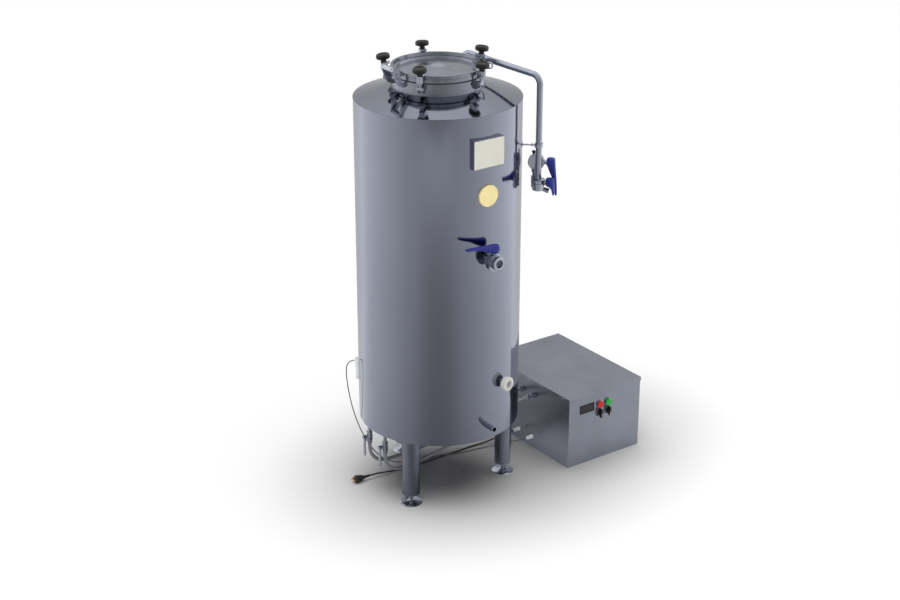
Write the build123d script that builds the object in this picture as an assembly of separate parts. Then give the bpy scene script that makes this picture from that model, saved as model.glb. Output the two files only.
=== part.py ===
"""Bulk milk tank with its own cooling unit, as separate named pieces.

The tank stands on three legs with its axis on the line x = y = 0 and the floor at z = 0.
The cooling unit stands beside it, towards +X. All sizes are in millimetres, +Z is up.
At the end every piece is moved by one offset, so that the origin lies on the floor
under the middle of the whole object.
"""
import os
from math import cos, hypot, radians, sin, tan

from build123d import *

os.makedirs("parts", exist_ok=True)

# ---- tank ----
SHELL_R = 375.0          # outer radius of the insulated body
SHELL_BOTTOM = 341.0     # underside of the tank above the floor
SHELL_HEIGHT = 1544.0
SHELL_WALL = 2.0
CONE_RISE = 51.0         # how far the top cone climbs from the rim to the neck
INSULATION = 48.0
VESSEL_WALL = 2.5
VESSEL_FLOOR_GAP = 64.0  # foam under the rim of the vessel floor
VESSEL_FLOOR_FALL = 22.0
JACKET_DEPTH = 6.0       # height of the cooling jacket's channels
JACKET_HEIGHT = 700.0
JACKET_CHANNELS = 12
BOTTOM_PLATE = 3.0

# ---- legs and feet ----
LEG_ANGLES = (210.0, 330.0, 90.0)
LEG_INSET = 67.0         # leg axis inside the skin
LEG_R = 41.0
LEG_WALL = 2.5
LEG_GAP = 50.0           # floor to the end of the leg tube
FOOT_R = 52.0
FOOT_STEM_R = 10.0
FOOT_STEM_TOP = 150.0
FOOT_NUT_R = 17.0

# ---- manway ----
NECK_R = 206.0
NECK_WALL = 3.0
NECK_HEIGHT = 48.0       # from the top of the cone to the underside of the flange
FLANGE_OVER = 4.0        # how far the flange stands out from the neck
FLANGE_T = 6.0
GASKET_T = 4.0
LID_OVER = 3.0           # how far the lid's rim stands out from the neck
LID_RIM_H = 33.0
LID_SHEET = 4.0
LID_DISH = 23.0          # depth of the lid's plate below its rim
CAP_R = 40.0
CAP_H = 12.0
PLATE_RISE = 17.0        # how far the lid's plate climbs from its edge to the cap
HANDLE_ANGLE = -36.0
HANDLE_WIDTH = 88.0
HANDLE_REACH = 29.0
HANDLE_ROD_R = 4.0

# ---- lid hinge, at the -X side ----
HINGE_OUT = 49.0         # pin axis outside the lid's rim
HINGE_UP = 19.0          # pin axis above the lid's rim
HINGE_PIN_R = 6.0
HINGE_BARREL_R = 12.0
HINGE_ARM_HALF = 34.0
HINGE_EAR_T = 8.0

# ---- swing bolts ----
BOLT_ANGLES = (0.0, 72.0, 144.0, 216.0, 288.0)
BOLT_OUT = 20.0          # pivot outside the lid's rim
BOLT_DROP = 12.0         # pivot below the neck flange
EASE_ANGLE = 7.0         # how far each bolt leans out when it is slackened
STUD_R = 6.0
EYE_R = 11.0
EYE_HALF = 6.0
PIVOT_R = 5.0
CLAW_REACH = 26.0
CLAW_GAP = 0.4
CLAW_T = 7.0
CLAW_HALF = 15.0
KNOB_R = 31.0
KNOB_HEAD_H = 23.0
KNOB_HUB_H = 14.0
KNOB_HUB_R = 13.0
RUNNING_GAP = 0.05       # radial clearance of a pin that turns

# ---- fittings on the tank's front ----
PANEL_X = -6.0
PANEL_Z = 1721.0
PANEL_W = 165.0
PANEL_H = 131.0
PANEL_T = 21.0
DIAL_Z = 1524.0
DIAL_R = 49.0
DIAL_T = 9.0
OUTLET_Z = 1232.0
OUTLET_R = 19.0
OUTLET_WALL = 4.0
OUTLET_BODY_OUT = 50.0   # valve centre in front of the shell
OUTLET_BODY_R = 41.0
OUTLET_BODY_T = 26.0
UNION_R = 31.0
UNION_LENGTH = 25.0
UNION_BORE_R = 18.0
SAMPLE_ANGLE = -75.0
SAMPLE_Z = 601.0
SAMPLE_R = 14.0
SAMPLE_NUT_R = 33.0
SAMPLE_NUT_T = 29.0
SAMPLE_NUT_OUT = 15.0
SAMPLE_BORE_R = 18.0
DRAIN_Z = 417.0
DRAIN_R = 13.5
DRAIN_OUT = 64.0
DRAIN_ROOT = 4.0         # length of the thinner root between the skin and the hose stub
PIPE_WALL = 1.5

# ---- butterfly valve handles ----
HANDLE_HUB_R = 22.0
HANDLE_HUB_H = 36.0
HANDLE_LENGTH = 155.0
HANDLE_RISE = 10.0
SPINDLE_R = 7.0

# ---- fill pipe ----
FILL_R = 14.0
FILL_ANGLE = -42.57      # where the upright pipe stands round the tank
FILL_GAP = 74.4          # its axis outside the skin
FILL_TOP_UP = 100.0      # corner of the pipe above the rim of the tank
ENTRY_ANGLE = 32.41
ENTRY_INSET = 76.5       # where the pipe goes down through the cone, inside the skin
ENTRY_UP = 125.0
FILL_BEND_R = 42.0
FILL_ENTRY_COLLAR_R = 24.0
BRACKET_DOWN = 213.0     # heights on the pipe, below the rim of the tank
BRACKET_ROD_R = 3.5
UPPER_VALVE_DOWN = 305.0
LOWER_VALVE_DOWN = 385.0
UPPER_VALVE_R = 37.0
LOWER_VALVE_R = 31.0
FILL_VALVE_T = 26.0
FILL_HUB_OUT = 34.0      # foot of both handles, outside the fill pipe's axis
RISER_BACK = 42.0        # distance of the riser behind the fill pipe
RISER_IN = 13.0          # distance of the riser nearer to the tank
RISER_R = 17.0
CHAMBER_R = 27.0
CHAMBER_H = 24.0
FILL_STUB_R = 10.5
FILL_STUB_OUT = 47.0

# ---- coolant connections ----
COOLANT_INSET = 38.0     # the coolant tubes inside the skin
COOLANT_YS = (86.0, -45.0)
COOLANT_R = 9.0
COOLANT_VALVE_Z = 268.0
COOLANT_VALVE_R = 14.0
COOLANT_VALVE_H = 44.0
COOLANT_SPINDLE = 27.0
LEVER_LENGTH = 97.0
LEVER_W = 15.0
LEVER_T = 4.0
HOSE_D = 17.0

# ---- cooling unit ----
UNIT_GAP = 159.0         # from the tank's skin to the unit
UNIT_Y = -324.0
UNIT_W = 448.0
UNIT_D = 643.0
UNIT_H = 366.0
UNIT_SHEET = 1.5
UNIT_LID_DROP = 18.0
UNIT_LID_OVER = 3.0
TRAY_H = 28.0
DISPLAY_X = 111.0
DISPLAY_Z = 291.0
DISPLAY_W = 80.0
DISPLAY_H = 37.0
BUTTON_XS = (190.0, 242.0)
BUTTON_Z = 292.0
BUTTON_R = 18.0
BUTTON_STEM_R = 8.2
BUTTON_TRAVEL = 5.0
SELECTOR_Z = 252.0
SELECTOR_R = 17.0
SELECTOR_STEM_R = 6.0
HOSE_PORT_YS = (56.0, -41.0)
HOSE_PORT_Z = 277.0
GLAND_YS = (62.0, -43.0)
GLAND_Z = 56.0
GLAND_R = 9.0
GLAND_LENGTH = 36.0
FAN_R = 125.0
MAINS_D = 8.0
SENSOR_D = 5.0
SENSOR_ANGLE = 150.0
SENSOR_Z = 616.0
PLUG_AT = (-338.0, 147.0)
PLUG_ANGLE = 175.5
PLUG_R = 19.0

# ---- sizes that follow ----
SHELL_TOP = SHELL_BOTTOM + SHELL_HEIGHT
LEG_CIRCLE_R = SHELL_R - LEG_INSET
FLANGE_R = NECK_R + FLANGE_OVER
LID_R = NECK_R + LID_OVER
OUTLET_BORE_R = OUTLET_R - OUTLET_WALL
DRAIN_ROOT_R = DRAIN_R - 1.0
COOLANT_X = COOLANT_INSET - SHELL_R
UNIT_X = SHELL_R + UNIT_GAP
BRACKET_Z = SHELL_TOP - BRACKET_DOWN
UPPER_VALVE_Z = SHELL_TOP - UPPER_VALVE_DOWN
LOWER_VALVE_Z = SHELL_TOP - LOWER_VALVE_DOWN
FILL_PLAN_R = SHELL_R + FILL_GAP
FILL_TOP = (
    FILL_PLAN_R * cos(radians(FILL_ANGLE)),
    FILL_PLAN_R * sin(radians(FILL_ANGLE)),
    SHELL_TOP + FILL_TOP_UP,
)
FILL_ENTRY = (
    (SHELL_R - ENTRY_INSET) * cos(radians(ENTRY_ANGLE)),
    (SHELL_R - ENTRY_INSET) * sin(radians(ENTRY_ANGLE)),
    SHELL_TOP + ENTRY_UP,
)
CONE_TOP = SHELL_TOP + CONE_RISE
CONE_SLOPE = CONE_RISE / (SHELL_R - NECK_R)
VESSEL_R = SHELL_R - SHELL_WALL - INSULATION
VESSEL_FLOOR = SHELL_BOTTOM + VESSEL_FLOOR_GAP
VESSEL_TOP = SHELL_TOP - INSULATION + 5.0
VESSEL_NECK_Z = VESSEL_TOP + (VESSEL_R - NECK_R) * CONE_SLOPE
FLANGE_Z = CONE_TOP + NECK_HEIGHT
SEAL_Z = FLANGE_Z + FLANGE_T
LID_Z = SEAL_Z + GASKET_T
LID_TOP = LID_Z + LID_RIM_H
HINGE_X = -(LID_R + HINGE_OUT)
HINGE_Z = LID_TOP + HINGE_UP
BOLT_R = LID_R + BOLT_OUT
BOLT_Z = FLANGE_Z - BOLT_DROP
CLAW_Z = LID_TOP + CLAW_GAP - BOLT_Z
HUB_Z = CLAW_Z + CLAW_T + 0.5
HEAD_Z = HUB_Z + KNOB_HUB_H
UNIT_FRONT = UNIT_Y
UNIT_RIGHT = UNIT_X + UNIT_W
UNIT_BACK = UNIT_Y + UNIT_D

nodes = {}


def revolved(points):
    """A solid turned about the tank's axis from an outline of (radius, height) points."""
    outline = Polyline(*[(r, 0, z) for r, z in points], close=True)
    return revolve(make_face(outline), Axis.Z, 360)


def rod(start, end, radius):
    """A straight round bar from one point to another."""
    start, end = Vector(*start), Vector(*end)
    direction = end - start
    return Plane(start, z_dir=direction) * Cylinder(
        radius, direction.length, align=(Align.CENTER, Align.CENTER, Align.MIN)
    )


def pipe(start, end, radius, bore):
    """A straight tube; its bore runs past both ends, so they are open."""
    return rod(start, end, radius) - rod(start, end, bore)


def polar(radius, angle, z):
    return (radius * cos(radians(angle)), radius * sin(radians(angle)), z)


def upright(radius, z0, z1, x=0.0, y=0.0):
    return rod((x, y, z0), (x, y, z1), radius)


def slab(x0, x1, y0, y1, z0, z1):
    return Pos((x0 + x1) / 2, (y0 + y1) / 2, (z0 + z1) / 2) * Box(x1 - x0, y1 - y0, z1 - z0)


def plate_xz(points, y0, y1):
    """A flat plate cut to an outline of (x, z) points, between two values of y."""
    face = make_face(Polyline(*[(x, y0, z) for x, z in points], close=True))
    return extrude(face, amount=y1 - y0, dir=(0, 1, 0))


def joined(pieces):
    """Several separate solids kept as one node."""
    return Compound(children=[s for p in pieces for s in p.solids()])


def coolant_points(y):
    """The bent tube that brings coolant up from a valve to the jacket."""
    top = VESSEL_FLOOR + 75.0
    inner = COOLANT_X * (VESSEL_R + JACKET_DEPTH) / hypot(COOLANT_X, y)
    return (COOLANT_X, y, top), (inner, y * inner / COOLANT_X, top)


# ---------------------------------------------------------------- tank body
def front_cut(radius, angle, z):
    """The hole that a nozzle needs through the skin, the foam and the vessel wall."""
    return rod(polar(VESSEL_R - 20, angle, z), polar(SHELL_R + 20, angle, z), radius)


def nozzle_cuts():
    return (
        front_cut(OUTLET_R, -90, OUTLET_Z)
        + front_cut(SAMPLE_R, SAMPLE_ANGLE, SAMPLE_Z)
        + front_cut(DRAIN_ROOT_R, -90, DRAIN_Z)
    )


def outer_shell():
    body = upright(SHELL_R, SHELL_BOTTOM, SHELL_TOP - SHELL_WALL) - upright(
        SHELL_R - SHELL_WALL, SHELL_BOTTOM, SHELL_TOP
    )
    return body - nozzle_cuts()


def top_cone():
    body = revolved([
        (SHELL_R, SHELL_TOP - SHELL_WALL),
        (SHELL_R, SHELL_TOP),
        (NECK_R, CONE_TOP),
        (NECK_R, CONE_TOP - SHELL_WALL),
    ])
    return body - upright(FILL_R, SHELL_TOP - 20, CONE_TOP, FILL_ENTRY[0], FILL_ENTRY[1])


def bottom_plate():
    body = upright(SHELL_R - SHELL_WALL, SHELL_BOTTOM, SHELL_BOTTOM + BOTTOM_PLATE)
    for y in COOLANT_YS:
        body -= upright(COOLANT_R, SHELL_BOTTOM - 1, SHELL_BOTTOM + 10, COOLANT_X, y)
    return body


def insulation():
    gap = 0.3
    outer = SHELL_R - SHELL_WALL - gap
    inner = VESSEL_R + JACKET_DEPTH + gap
    base = SHELL_BOTTOM + BOTTOM_PLATE
    body = revolved([
        (0, base),
        (outer, base),
        (outer, SHELL_TOP - SHELL_WALL - gap),
        (NECK_R + gap, CONE_TOP - SHELL_WALL - gap),
        (NECK_R + gap, VESSEL_NECK_Z + gap),
        (inner, VESSEL_TOP + gap - (inner - VESSEL_R) * CONE_SLOPE),
        (inner, VESSEL_FLOOR - gap),
        (VESSEL_R + gap, VESSEL_FLOOR - gap),
        (0, VESSEL_FLOOR - VESSEL_FLOOR_FALL - gap),
    ])
    body -= nozzle_cuts()
    for y in COOLANT_YS:
        top, end = coolant_points(y)
        body -= rod((COOLANT_X, y, base - 1), (COOLANT_X, y, top[2] + COOLANT_R), COOLANT_R)
        body -= rod(top, end, COOLANT_R)
    return body - upright(FILL_R, VESSEL_TOP - 20, CONE_TOP, FILL_ENTRY[0], FILL_ENTRY[1])


def inner_vessel():
    wall = VESSEL_WALL
    body = revolved([
        (0, VESSEL_FLOOR - VESSEL_FLOOR_FALL),
        (VESSEL_R, VESSEL_FLOOR),
        (VESSEL_R, VESSEL_TOP),
        (NECK_R, VESSEL_NECK_Z),
        (NECK_R - wall, VESSEL_NECK_Z),
        (NECK_R - wall, VESSEL_NECK_Z - wall),
        (VESSEL_R - wall, VESSEL_TOP - wall),
        (VESSEL_R - wall, VESSEL_FLOOR + wall),
        (0, VESSEL_FLOOR - VESSEL_FLOOR_FALL + wall),
    ])
    body -= nozzle_cuts()
    return body - upright(FILL_R, VESSEL_TOP - 20, CONE_TOP, FILL_ENTRY[0], FILL_ENTRY[1])


def cooling_jacket():
    """Twelve coolant channels pressed into one sheet that is wrapped round the vessel."""
    base = VESSEL_FLOOR + 35.0
    pitch = JACKET_HEIGHT / JACKET_CHANNELS
    points = [(VESSEL_R, base), (VESSEL_R + 1.5, base)]
    for k in range(JACKET_CHANNELS):
        low = base + k * pitch
        points += [
            (VESSEL_R + JACKET_DEPTH, low + 0.2 * pitch),
            (VESSEL_R + JACKET_DEPTH, low + 0.8 * pitch),
            (VESSEL_R + 1.5, low + pitch),
        ]
    points.append((VESSEL_R, base + JACKET_HEIGHT))
    body = revolved(points)
    for radius, angle, z in (
        (SAMPLE_R, SAMPLE_ANGLE, SAMPLE_Z),
        (OUTLET_R, -90, OUTLET_Z),
        (DRAIN_ROOT_R, -90, DRAIN_Z),
    ):
        body -= front_cut(radius, angle, z)
    return body


def vessel_nozzles():
    """Outlet, sample and drain tubes, each welded into the vessel wall."""
    inside = VESSEL_R - VESSEL_WALL - 1.0
    outlet_end = SHELL_R + OUTLET_BODY_OUT - OUTLET_BODY_T / 2
    outlet = pipe(
        polar(inside, -90, OUTLET_Z), polar(outlet_end, -90, OUTLET_Z), OUTLET_R, OUTLET_BORE_R
    )
    sample = pipe(
        polar(inside, SAMPLE_ANGLE, SAMPLE_Z),
        polar(SHELL_R + SAMPLE_NUT_OUT, SAMPLE_ANGLE, SAMPLE_Z),
        SAMPLE_R,
        SAMPLE_R - PIPE_WALL,
    )
    root = SHELL_R + DRAIN_ROOT
    end = SHELL_R + DRAIN_OUT
    drain = rod(polar(inside, -90, DRAIN_Z), polar(root, -90, DRAIN_Z), DRAIN_ROOT_R)
    drain += rod(polar(root, -90, DRAIN_Z), polar(end, -90, DRAIN_Z), DRAIN_R)
    drain -= rod(
        polar(inside - 1, -90, DRAIN_Z), polar(end + 1, -90, DRAIN_Z), DRAIN_ROOT_R - PIPE_WALL
    )
    return joined([outlet, sample, drain])


def legs():
    pieces = []
    for angle in LEG_ANGLES:
        x, y, _ = polar(LEG_CIRCLE_R, angle, 0)
        tube = upright(LEG_R, LEG_GAP, SHELL_BOTTOM, x, y)
        tube -= upright(LEG_R - LEG_WALL, LEG_GAP + 12, SHELL_BOTTOM - 6, x, y)
        tube -= upright(FOOT_STEM_R + RUNNING_GAP, LEG_GAP - 1, LEG_GAP + 13, x, y)
        pieces.append(tube)
    return joined(pieces)


def foot(angle):
    """A round foot plate with a nut and a threaded stem that turns in the end of its leg."""
    x, y, _ = polar(LEG_CIRCLE_R, angle, 0)
    outline = [
        (0, 0), (FOOT_R, 0), (FOOT_R, 4), (FOOT_R - 4, 6), (FOOT_NUT_R + 3, 9),
        (FOOT_STEM_R + 2, 12), (FOOT_STEM_R, 14), (FOOT_STEM_R, FOOT_STEM_TOP), (0, FOOT_STEM_TOP),
    ]
    body = revolved(outline)
    nut_z = LEG_GAP - 14.0
    nut = Pos(0, 0, nut_z) * extrude(RegularPolygon(FOOT_NUT_R, 6), amount=13)
    return Pos(x, y, 0) * (body + nut)


# ---------------------------------------------------------------- manway
def manway_neck():
    tube = [
        (NECK_R - NECK_WALL, VESSEL_NECK_Z),
        (NECK_R, VESSEL_NECK_Z),
        (NECK_R, FLANGE_Z),
        (FLANGE_R, FLANGE_Z),
        (FLANGE_R, SEAL_Z),
        (NECK_R - NECK_WALL - 4, SEAL_Z),
        (NECK_R - NECK_WALL - 4, FLANGE_Z),
        (NECK_R - NECK_WALL, FLANGE_Z),
    ]
    return revolved(tube)


def lid_gasket():
    half = (FLANGE_R - NECK_R + NECK_WALL + 1) / 2
    middle = FLANGE_R - half - 2.0
    return upright(middle + 4, SEAL_Z, LID_Z) - upright(middle - 4, SEAL_Z, LID_Z)


def lid():
    """A pressed lid: a raised rim, a ledge and a shallow cone in the middle."""
    plate = LID_TOP - LID_DISH
    inner = LID_R - 31.0
    centre = plate + PLATE_RISE
    return revolved([
        (0, centre), (CAP_R + 2, centre), (inner, plate), (inner + 4, plate + 9),
        (LID_R - 15, plate + 11), (LID_R - 12, LID_TOP), (LID_R - 1, LID_TOP), (LID_R, LID_TOP - 1),
        (LID_R, LID_TOP - 15), (LID_R - 3, LID_TOP - 17), (LID_R - 3, LID_Z), (LID_R - 13, LID_Z),
        (LID_R - 16, plate + 11 - LID_SHEET), (inner + 6, plate + 9 - LID_SHEET),
        (inner + 2, plate - LID_SHEET), (CAP_R + 2, centre - LID_SHEET), (0, centre - LID_SHEET),
    ])


def lid_cap():
    base = LID_TOP - LID_DISH + PLATE_RISE
    radius = (CAP_R**2 + CAP_H**2) / (2 * CAP_H)
    ball = Pos(0, 0, base + CAP_H - radius) * Sphere(radius)
    return ball & upright(CAP_R, base, base + 2 * CAP_H)


def lid_handle():
    """A bent rod welded to the lid's rim."""
    half = HANDLE_WIDTH / 2
    end = LID_R + HANDLE_REACH
    z = LID_TOP - 8.0
    corner = 12.0
    path = FilletPolyline(
        (LID_R - 12, -half, z), (end, -half, z), (end, half, z), (LID_R - 12, half, z),
        radius=corner,
    )
    section = Plane(path @ 0, z_dir=path % 0) * Circle(HANDLE_ROD_R)
    return Rot(0, 0, HANDLE_ANGLE) * sweep(section, path=path) - upright(LID_R, LID_Z, LID_TOP + 5)


def lid_hinge_arm():
    """Two plates from the lid's rim to the barrel that the hinge pin passes through."""
    z = LID_TOP
    side = [
        (-LID_R + 12, z - 14), (-LID_R + 12, z - 2), (HINGE_X + 8, HINGE_Z + 9),
        (HINGE_X - 8, HINGE_Z + 7), (HINGE_X - 4, HINGE_Z - 11), (-LID_R - 18, z - 14),
    ]
    half = HINGE_ARM_HALF
    barrel = rod((HINGE_X, -half, HINGE_Z), (HINGE_X, half, HINGE_Z), HINGE_BARREL_R)
    body = barrel + plate_xz(side, -half, -half + 10) + plate_xz(side, half - 10, half)
    body -= rod(
        (HINGE_X, -half - 1, HINGE_Z), (HINGE_X, half + 1, HINGE_Z), HINGE_PIN_R + RUNNING_GAP
    )
    return body - upright(LID_R, LID_Z - 5, LID_TOP + 5)


def lid_hinge_bracket():
    """Two ears welded to the neck, and the pin that they hold."""
    near = HINGE_ARM_HALF + 2.0
    far = near + HINGE_EAR_T
    side = [
        (-NECK_R + 5, FLANGE_Z - 20), (-NECK_R + 5, FLANGE_Z - 2), (-FLANGE_R - 5, FLANGE_Z - 1),
        (-FLANGE_R - 12, LID_Z + 6), (HINGE_X + 12, HINGE_Z + 4), (HINGE_X + 4, HINGE_Z + 12),
        (HINGE_X - 8, HINGE_Z + 10), (HINGE_X - 12, HINGE_Z - 6), (-FLANGE_R - 30, FLANGE_Z - 9),
        (-NECK_R - 10, FLANGE_Z - 20),
    ]
    ears = plate_xz(side, near, far) + plate_xz(side, -far, -near)
    ears -= rod((HINGE_X, -far - 1, HINGE_Z), (HINGE_X, far + 1, HINGE_Z), HINGE_PIN_R)
    ears -= upright(NECK_R, CONE_TOP, SEAL_Z)
    head = 4.0
    pin = rod((HINGE_X, -far - head, HINGE_Z), (HINGE_X, far + head, HINGE_Z), HINGE_PIN_R)
    for sign in (-1, 1):
        pin += rod(
            (HINGE_X, sign * far, HINGE_Z), (HINGE_X, sign * (far + head), HINGE_Z),
            HINGE_BARREL_R - 2,
        )
    return joined([ears, pin])


def bolt_place(angle, lean):
    """The frame of one swing bolt: X points away from the neck, Z along the stud."""
    x, y, z = polar(BOLT_R, angle, BOLT_Z)
    return Pos(x, y, z) * Rot(0, 0, angle) * Rot(0, lean, 0)


def clamp_brackets():
    """A pair of ears with a pivot pin on the neck for each swing bolt."""
    inner = NECK_R - BOLT_R - 2
    side = [
        (inner, -20), (inner, FLANGE_Z - BOLT_Z - 3), (-8, 11), (9, 8), (11, -4), (4, -12),
        (-15, -22),
    ]
    near = EYE_HALF + 1.0
    far = near + 6.0
    pieces = []
    for angle in BOLT_ANGLES:
        place = bolt_place(angle, 0)
        for y0, y1 in ((near, far), (-far, -near)):
            ear = plate_xz(side, y0, y1) - rod((0, y0 - 1, 0), (0, y1 + 1, 0), PIVOT_R)
            pieces.append(place * ear - upright(NECK_R, CONE_TOP - 9, SEAL_Z))
        pin = rod((0, -far - 3, 0), (0, far + 3, 0), PIVOT_R)
        for sign in (-1, 1):
            pin += rod((0, sign * far, 0), (0, sign * (far + 3), 0), PIVOT_R + 3)
        pieces.append(place * pin)
    return joined(pieces)


def clamp_bolt(angle):
    """An eye bolt with a spacer block, and the claw that reaches over the lid's rim."""
    eye = rod((0, -EYE_HALF, 0), (0, EYE_HALF, 0), EYE_R)
    stud = upright(STUD_R, EYE_R - 3, HEAD_Z + KNOB_HEAD_H - 7)
    bolt = eye + stud - rod((0, -EYE_HALF - 1, 0), (0, EYE_HALF + 1, 0), PIVOT_R + RUNNING_GAP)
    inner = LID_R + 4.0 - BOLT_R
    block = slab(inner, 13, -CLAW_HALF, CLAW_HALF, CLAW_Z - 25, CLAW_Z)
    claw = slab(-CLAW_REACH, 13, -CLAW_HALF, CLAW_HALF, CLAW_Z, CLAW_Z + CLAW_T)
    pieces = [bolt]
    for piece in (block, claw):
        piece = chamfer(piece.edges().filter_by(Axis.Z), 3)
        pieces.append(piece - upright(STUD_R, 0, HUB_Z + 5))
    return bolt_place(angle, EASE_ANGLE) * joined(pieces)


def clamp_knob(angle):
    """A moulded mushroom knob with a blind hole for the stud."""
    top = HEAD_Z + KNOB_HEAD_H
    outline = [
        (0, HUB_Z), (KNOB_HUB_R, HUB_Z), (KNOB_HUB_R - 1, HEAD_Z), (KNOB_R - 5, HEAD_Z),
        (KNOB_R - 1, HEAD_Z + 3), (KNOB_R, HEAD_Z + 8), (KNOB_R - 1, top - 5), (KNOB_R - 5, top - 1),
        (KNOB_R - 9, top), (KNOB_R - 13, top - 4), (0, top - 5),
    ]
    knob = revolved(outline) - upright(STUD_R + RUNNING_GAP, HUB_Z - 1, top - 6)
    return bolt_place(angle, EASE_ANGLE) * knob


# ---------------------------------------------------------------- front fittings
def panel_box():
    front = -(SHELL_R + 15.0)
    box = slab(
        PANEL_X - PANEL_W / 2, PANEL_X + PANEL_W / 2, front, front + PANEL_T + 4,
        PANEL_Z - PANEL_H / 2, PANEL_Z + PANEL_H / 2,
    )
    box = fillet(box.edges().filter_by(Axis.Y), 3)
    return box - upright(SHELL_R, PANEL_Z - PANEL_H, PANEL_Z + PANEL_H)


def dial_disc():
    front = -(SHELL_R + DIAL_T)
    disc = rod((0, front, DIAL_Z), (0, front + 2 * DIAL_T, DIAL_Z), DIAL_R)
    disc = chamfer(disc.edges().group_by(Axis.Y)[0], 2)
    return disc - upright(SHELL_R, DIAL_Z - 2 * DIAL_R, DIAL_Z + 2 * DIAL_R)


def handle_blank():
    """A lever handle; its spindle lies on Z below the hub, and the lever points to -X."""
    tip = HANDLE_HUB_H + HANDLE_RISE
    side = [
        (8, 0), (HANDLE_HUB_R - 2, 4), (HANDLE_HUB_R - 4, HANDLE_HUB_H), (-20, HANDLE_HUB_H + 4),
        (-HANDLE_LENGTH + 6, tip), (-HANDLE_LENGTH, tip - 4), (-HANDLE_LENGTH + 2, tip - 11),
        (-60, HANDLE_HUB_H - 10), (-32, 12), (-20, 2),
    ]
    plan = make_face(Polyline(
        (HANDLE_HUB_R, -HANDLE_HUB_R), (HANDLE_HUB_R, HANDLE_HUB_R), (-20, HANDLE_HUB_R - 3),
        (-60, 14), (-HANDLE_LENGTH, 10), (-HANDLE_LENGTH, -10), (-60, -14), (-20, 3 - HANDLE_HUB_R),
        close=True,
    ))
    plan = fillet(plan.vertices().group_by(Axis.X)[-1], 8)
    body = plate_xz(side, -HANDLE_HUB_R, HANDLE_HUB_R)
    return body & extrude(plan, amount=HANDLE_HUB_H + HANDLE_RISE + 5)


def valve_handle(drop, disc_r, turn):
    """The handle with its spindle and the disc that it turns inside the valve."""
    spindle = upright(SPINDLE_R, -drop - 6.0, 0)
    thickness = 4.0
    disc = rod((0, -thickness / 2, -drop - disc_r), (0, thickness / 2, -drop - disc_r), disc_r)
    disc = Rot(0, 0, turn) * disc
    return joined([handle_blank(), spindle + disc])


def valve_body(radius, thickness, bore, spindle_top):
    """A butterfly valve's body about the origin: flow along Y, spindle hole up Z."""
    half = thickness / 2
    body = rod((0, -half, 0), (0, half, 0), radius)
    body -= rod((0, -4, 0), (0, 4, 0), radius + 1) - rod((0, -4, 0), (0, 4, 0), radius - 6)
    body += upright(SPINDLE_R + 5, 0, spindle_top)
    body -= rod((0, -half - 1, 0), (0, half + 1, 0), bore)
    return body - upright(SPINDLE_R + RUNNING_GAP, 0, spindle_top + 1)


OUTLET_SPINDLE = OUTLET_BODY_R + 0.5
OUTLET_CENTRE = (0, -(SHELL_R + OUTLET_BODY_OUT), OUTLET_Z)


def outlet_valve_body():
    return Pos(*OUTLET_CENTRE) * valve_body(
        OUTLET_BODY_R, OUTLET_BODY_T, OUTLET_BORE_R, OUTLET_SPINDLE
    )


def outlet_valve_handle():
    disc_r = OUTLET_BORE_R - 0.5
    x, y, z = OUTLET_CENTRE
    handle = valve_handle(OUTLET_SPINDLE + 0.5 - disc_r, disc_r, 0)
    return Pos(x, y, z + OUTLET_SPINDLE + 0.5) * handle


def outlet_union():
    """The threaded end of the outlet, open to the front."""
    x, y, z = OUTLET_CENTRE
    back = y - OUTLET_BODY_T / 2
    face = back - UNION_LENGTH
    body = rod((x, back, z), (x, face, z), UNION_R)
    body -= rod((x, back - 9, z), (x, back - 12, z), UNION_R + 1) - rod(
        (x, back - 9, z), (x, back - 12, z), UNION_R - 3
    )
    body = chamfer(body.edges().group_by(Axis.Y)[0], 2)
    return body - rod((x, back + 1, z), (x, face - 1, z), UNION_BORE_R)


def sample_port_nut():
    """A union nut on the sample nozzle, turned along the nozzle's own axis."""
    start = SHELL_R + SAMPLE_NUT_OUT
    outline = [
        (SAMPLE_R, start), (SAMPLE_NUT_R - 5, start), (SAMPLE_NUT_R - 2, start + 5),
        (SAMPLE_NUT_R - 2, start + 12), (SAMPLE_NUT_R, start + 14),
        (SAMPLE_NUT_R, start + SAMPLE_NUT_T - 3), (SAMPLE_NUT_R - 3, start + SAMPLE_NUT_T),
        (SAMPLE_BORE_R, start + SAMPLE_NUT_T), (SAMPLE_BORE_R, start + 4), (SAMPLE_R, start + 4),
    ]
    turned = revolved([(r, z - start) for r, z in outline])
    x, y, z = polar(start, SAMPLE_ANGLE, SAMPLE_Z)
    return Pos(x, y, z) * Rot(0, 0, SAMPLE_ANGLE) * Rot(0, 90, 0) * turned


# ---------------------------------------------------------------- fill pipe
def fill_frame(radius, z):
    """A frame on the fill pipe: X away from the tank's axis, Y along the skin, Z up."""
    x, y, _ = polar(radius, FILL_ANGLE, 0)
    return Pos(x, y, z) * Rot(0, 0, FILL_ANGLE)


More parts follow.
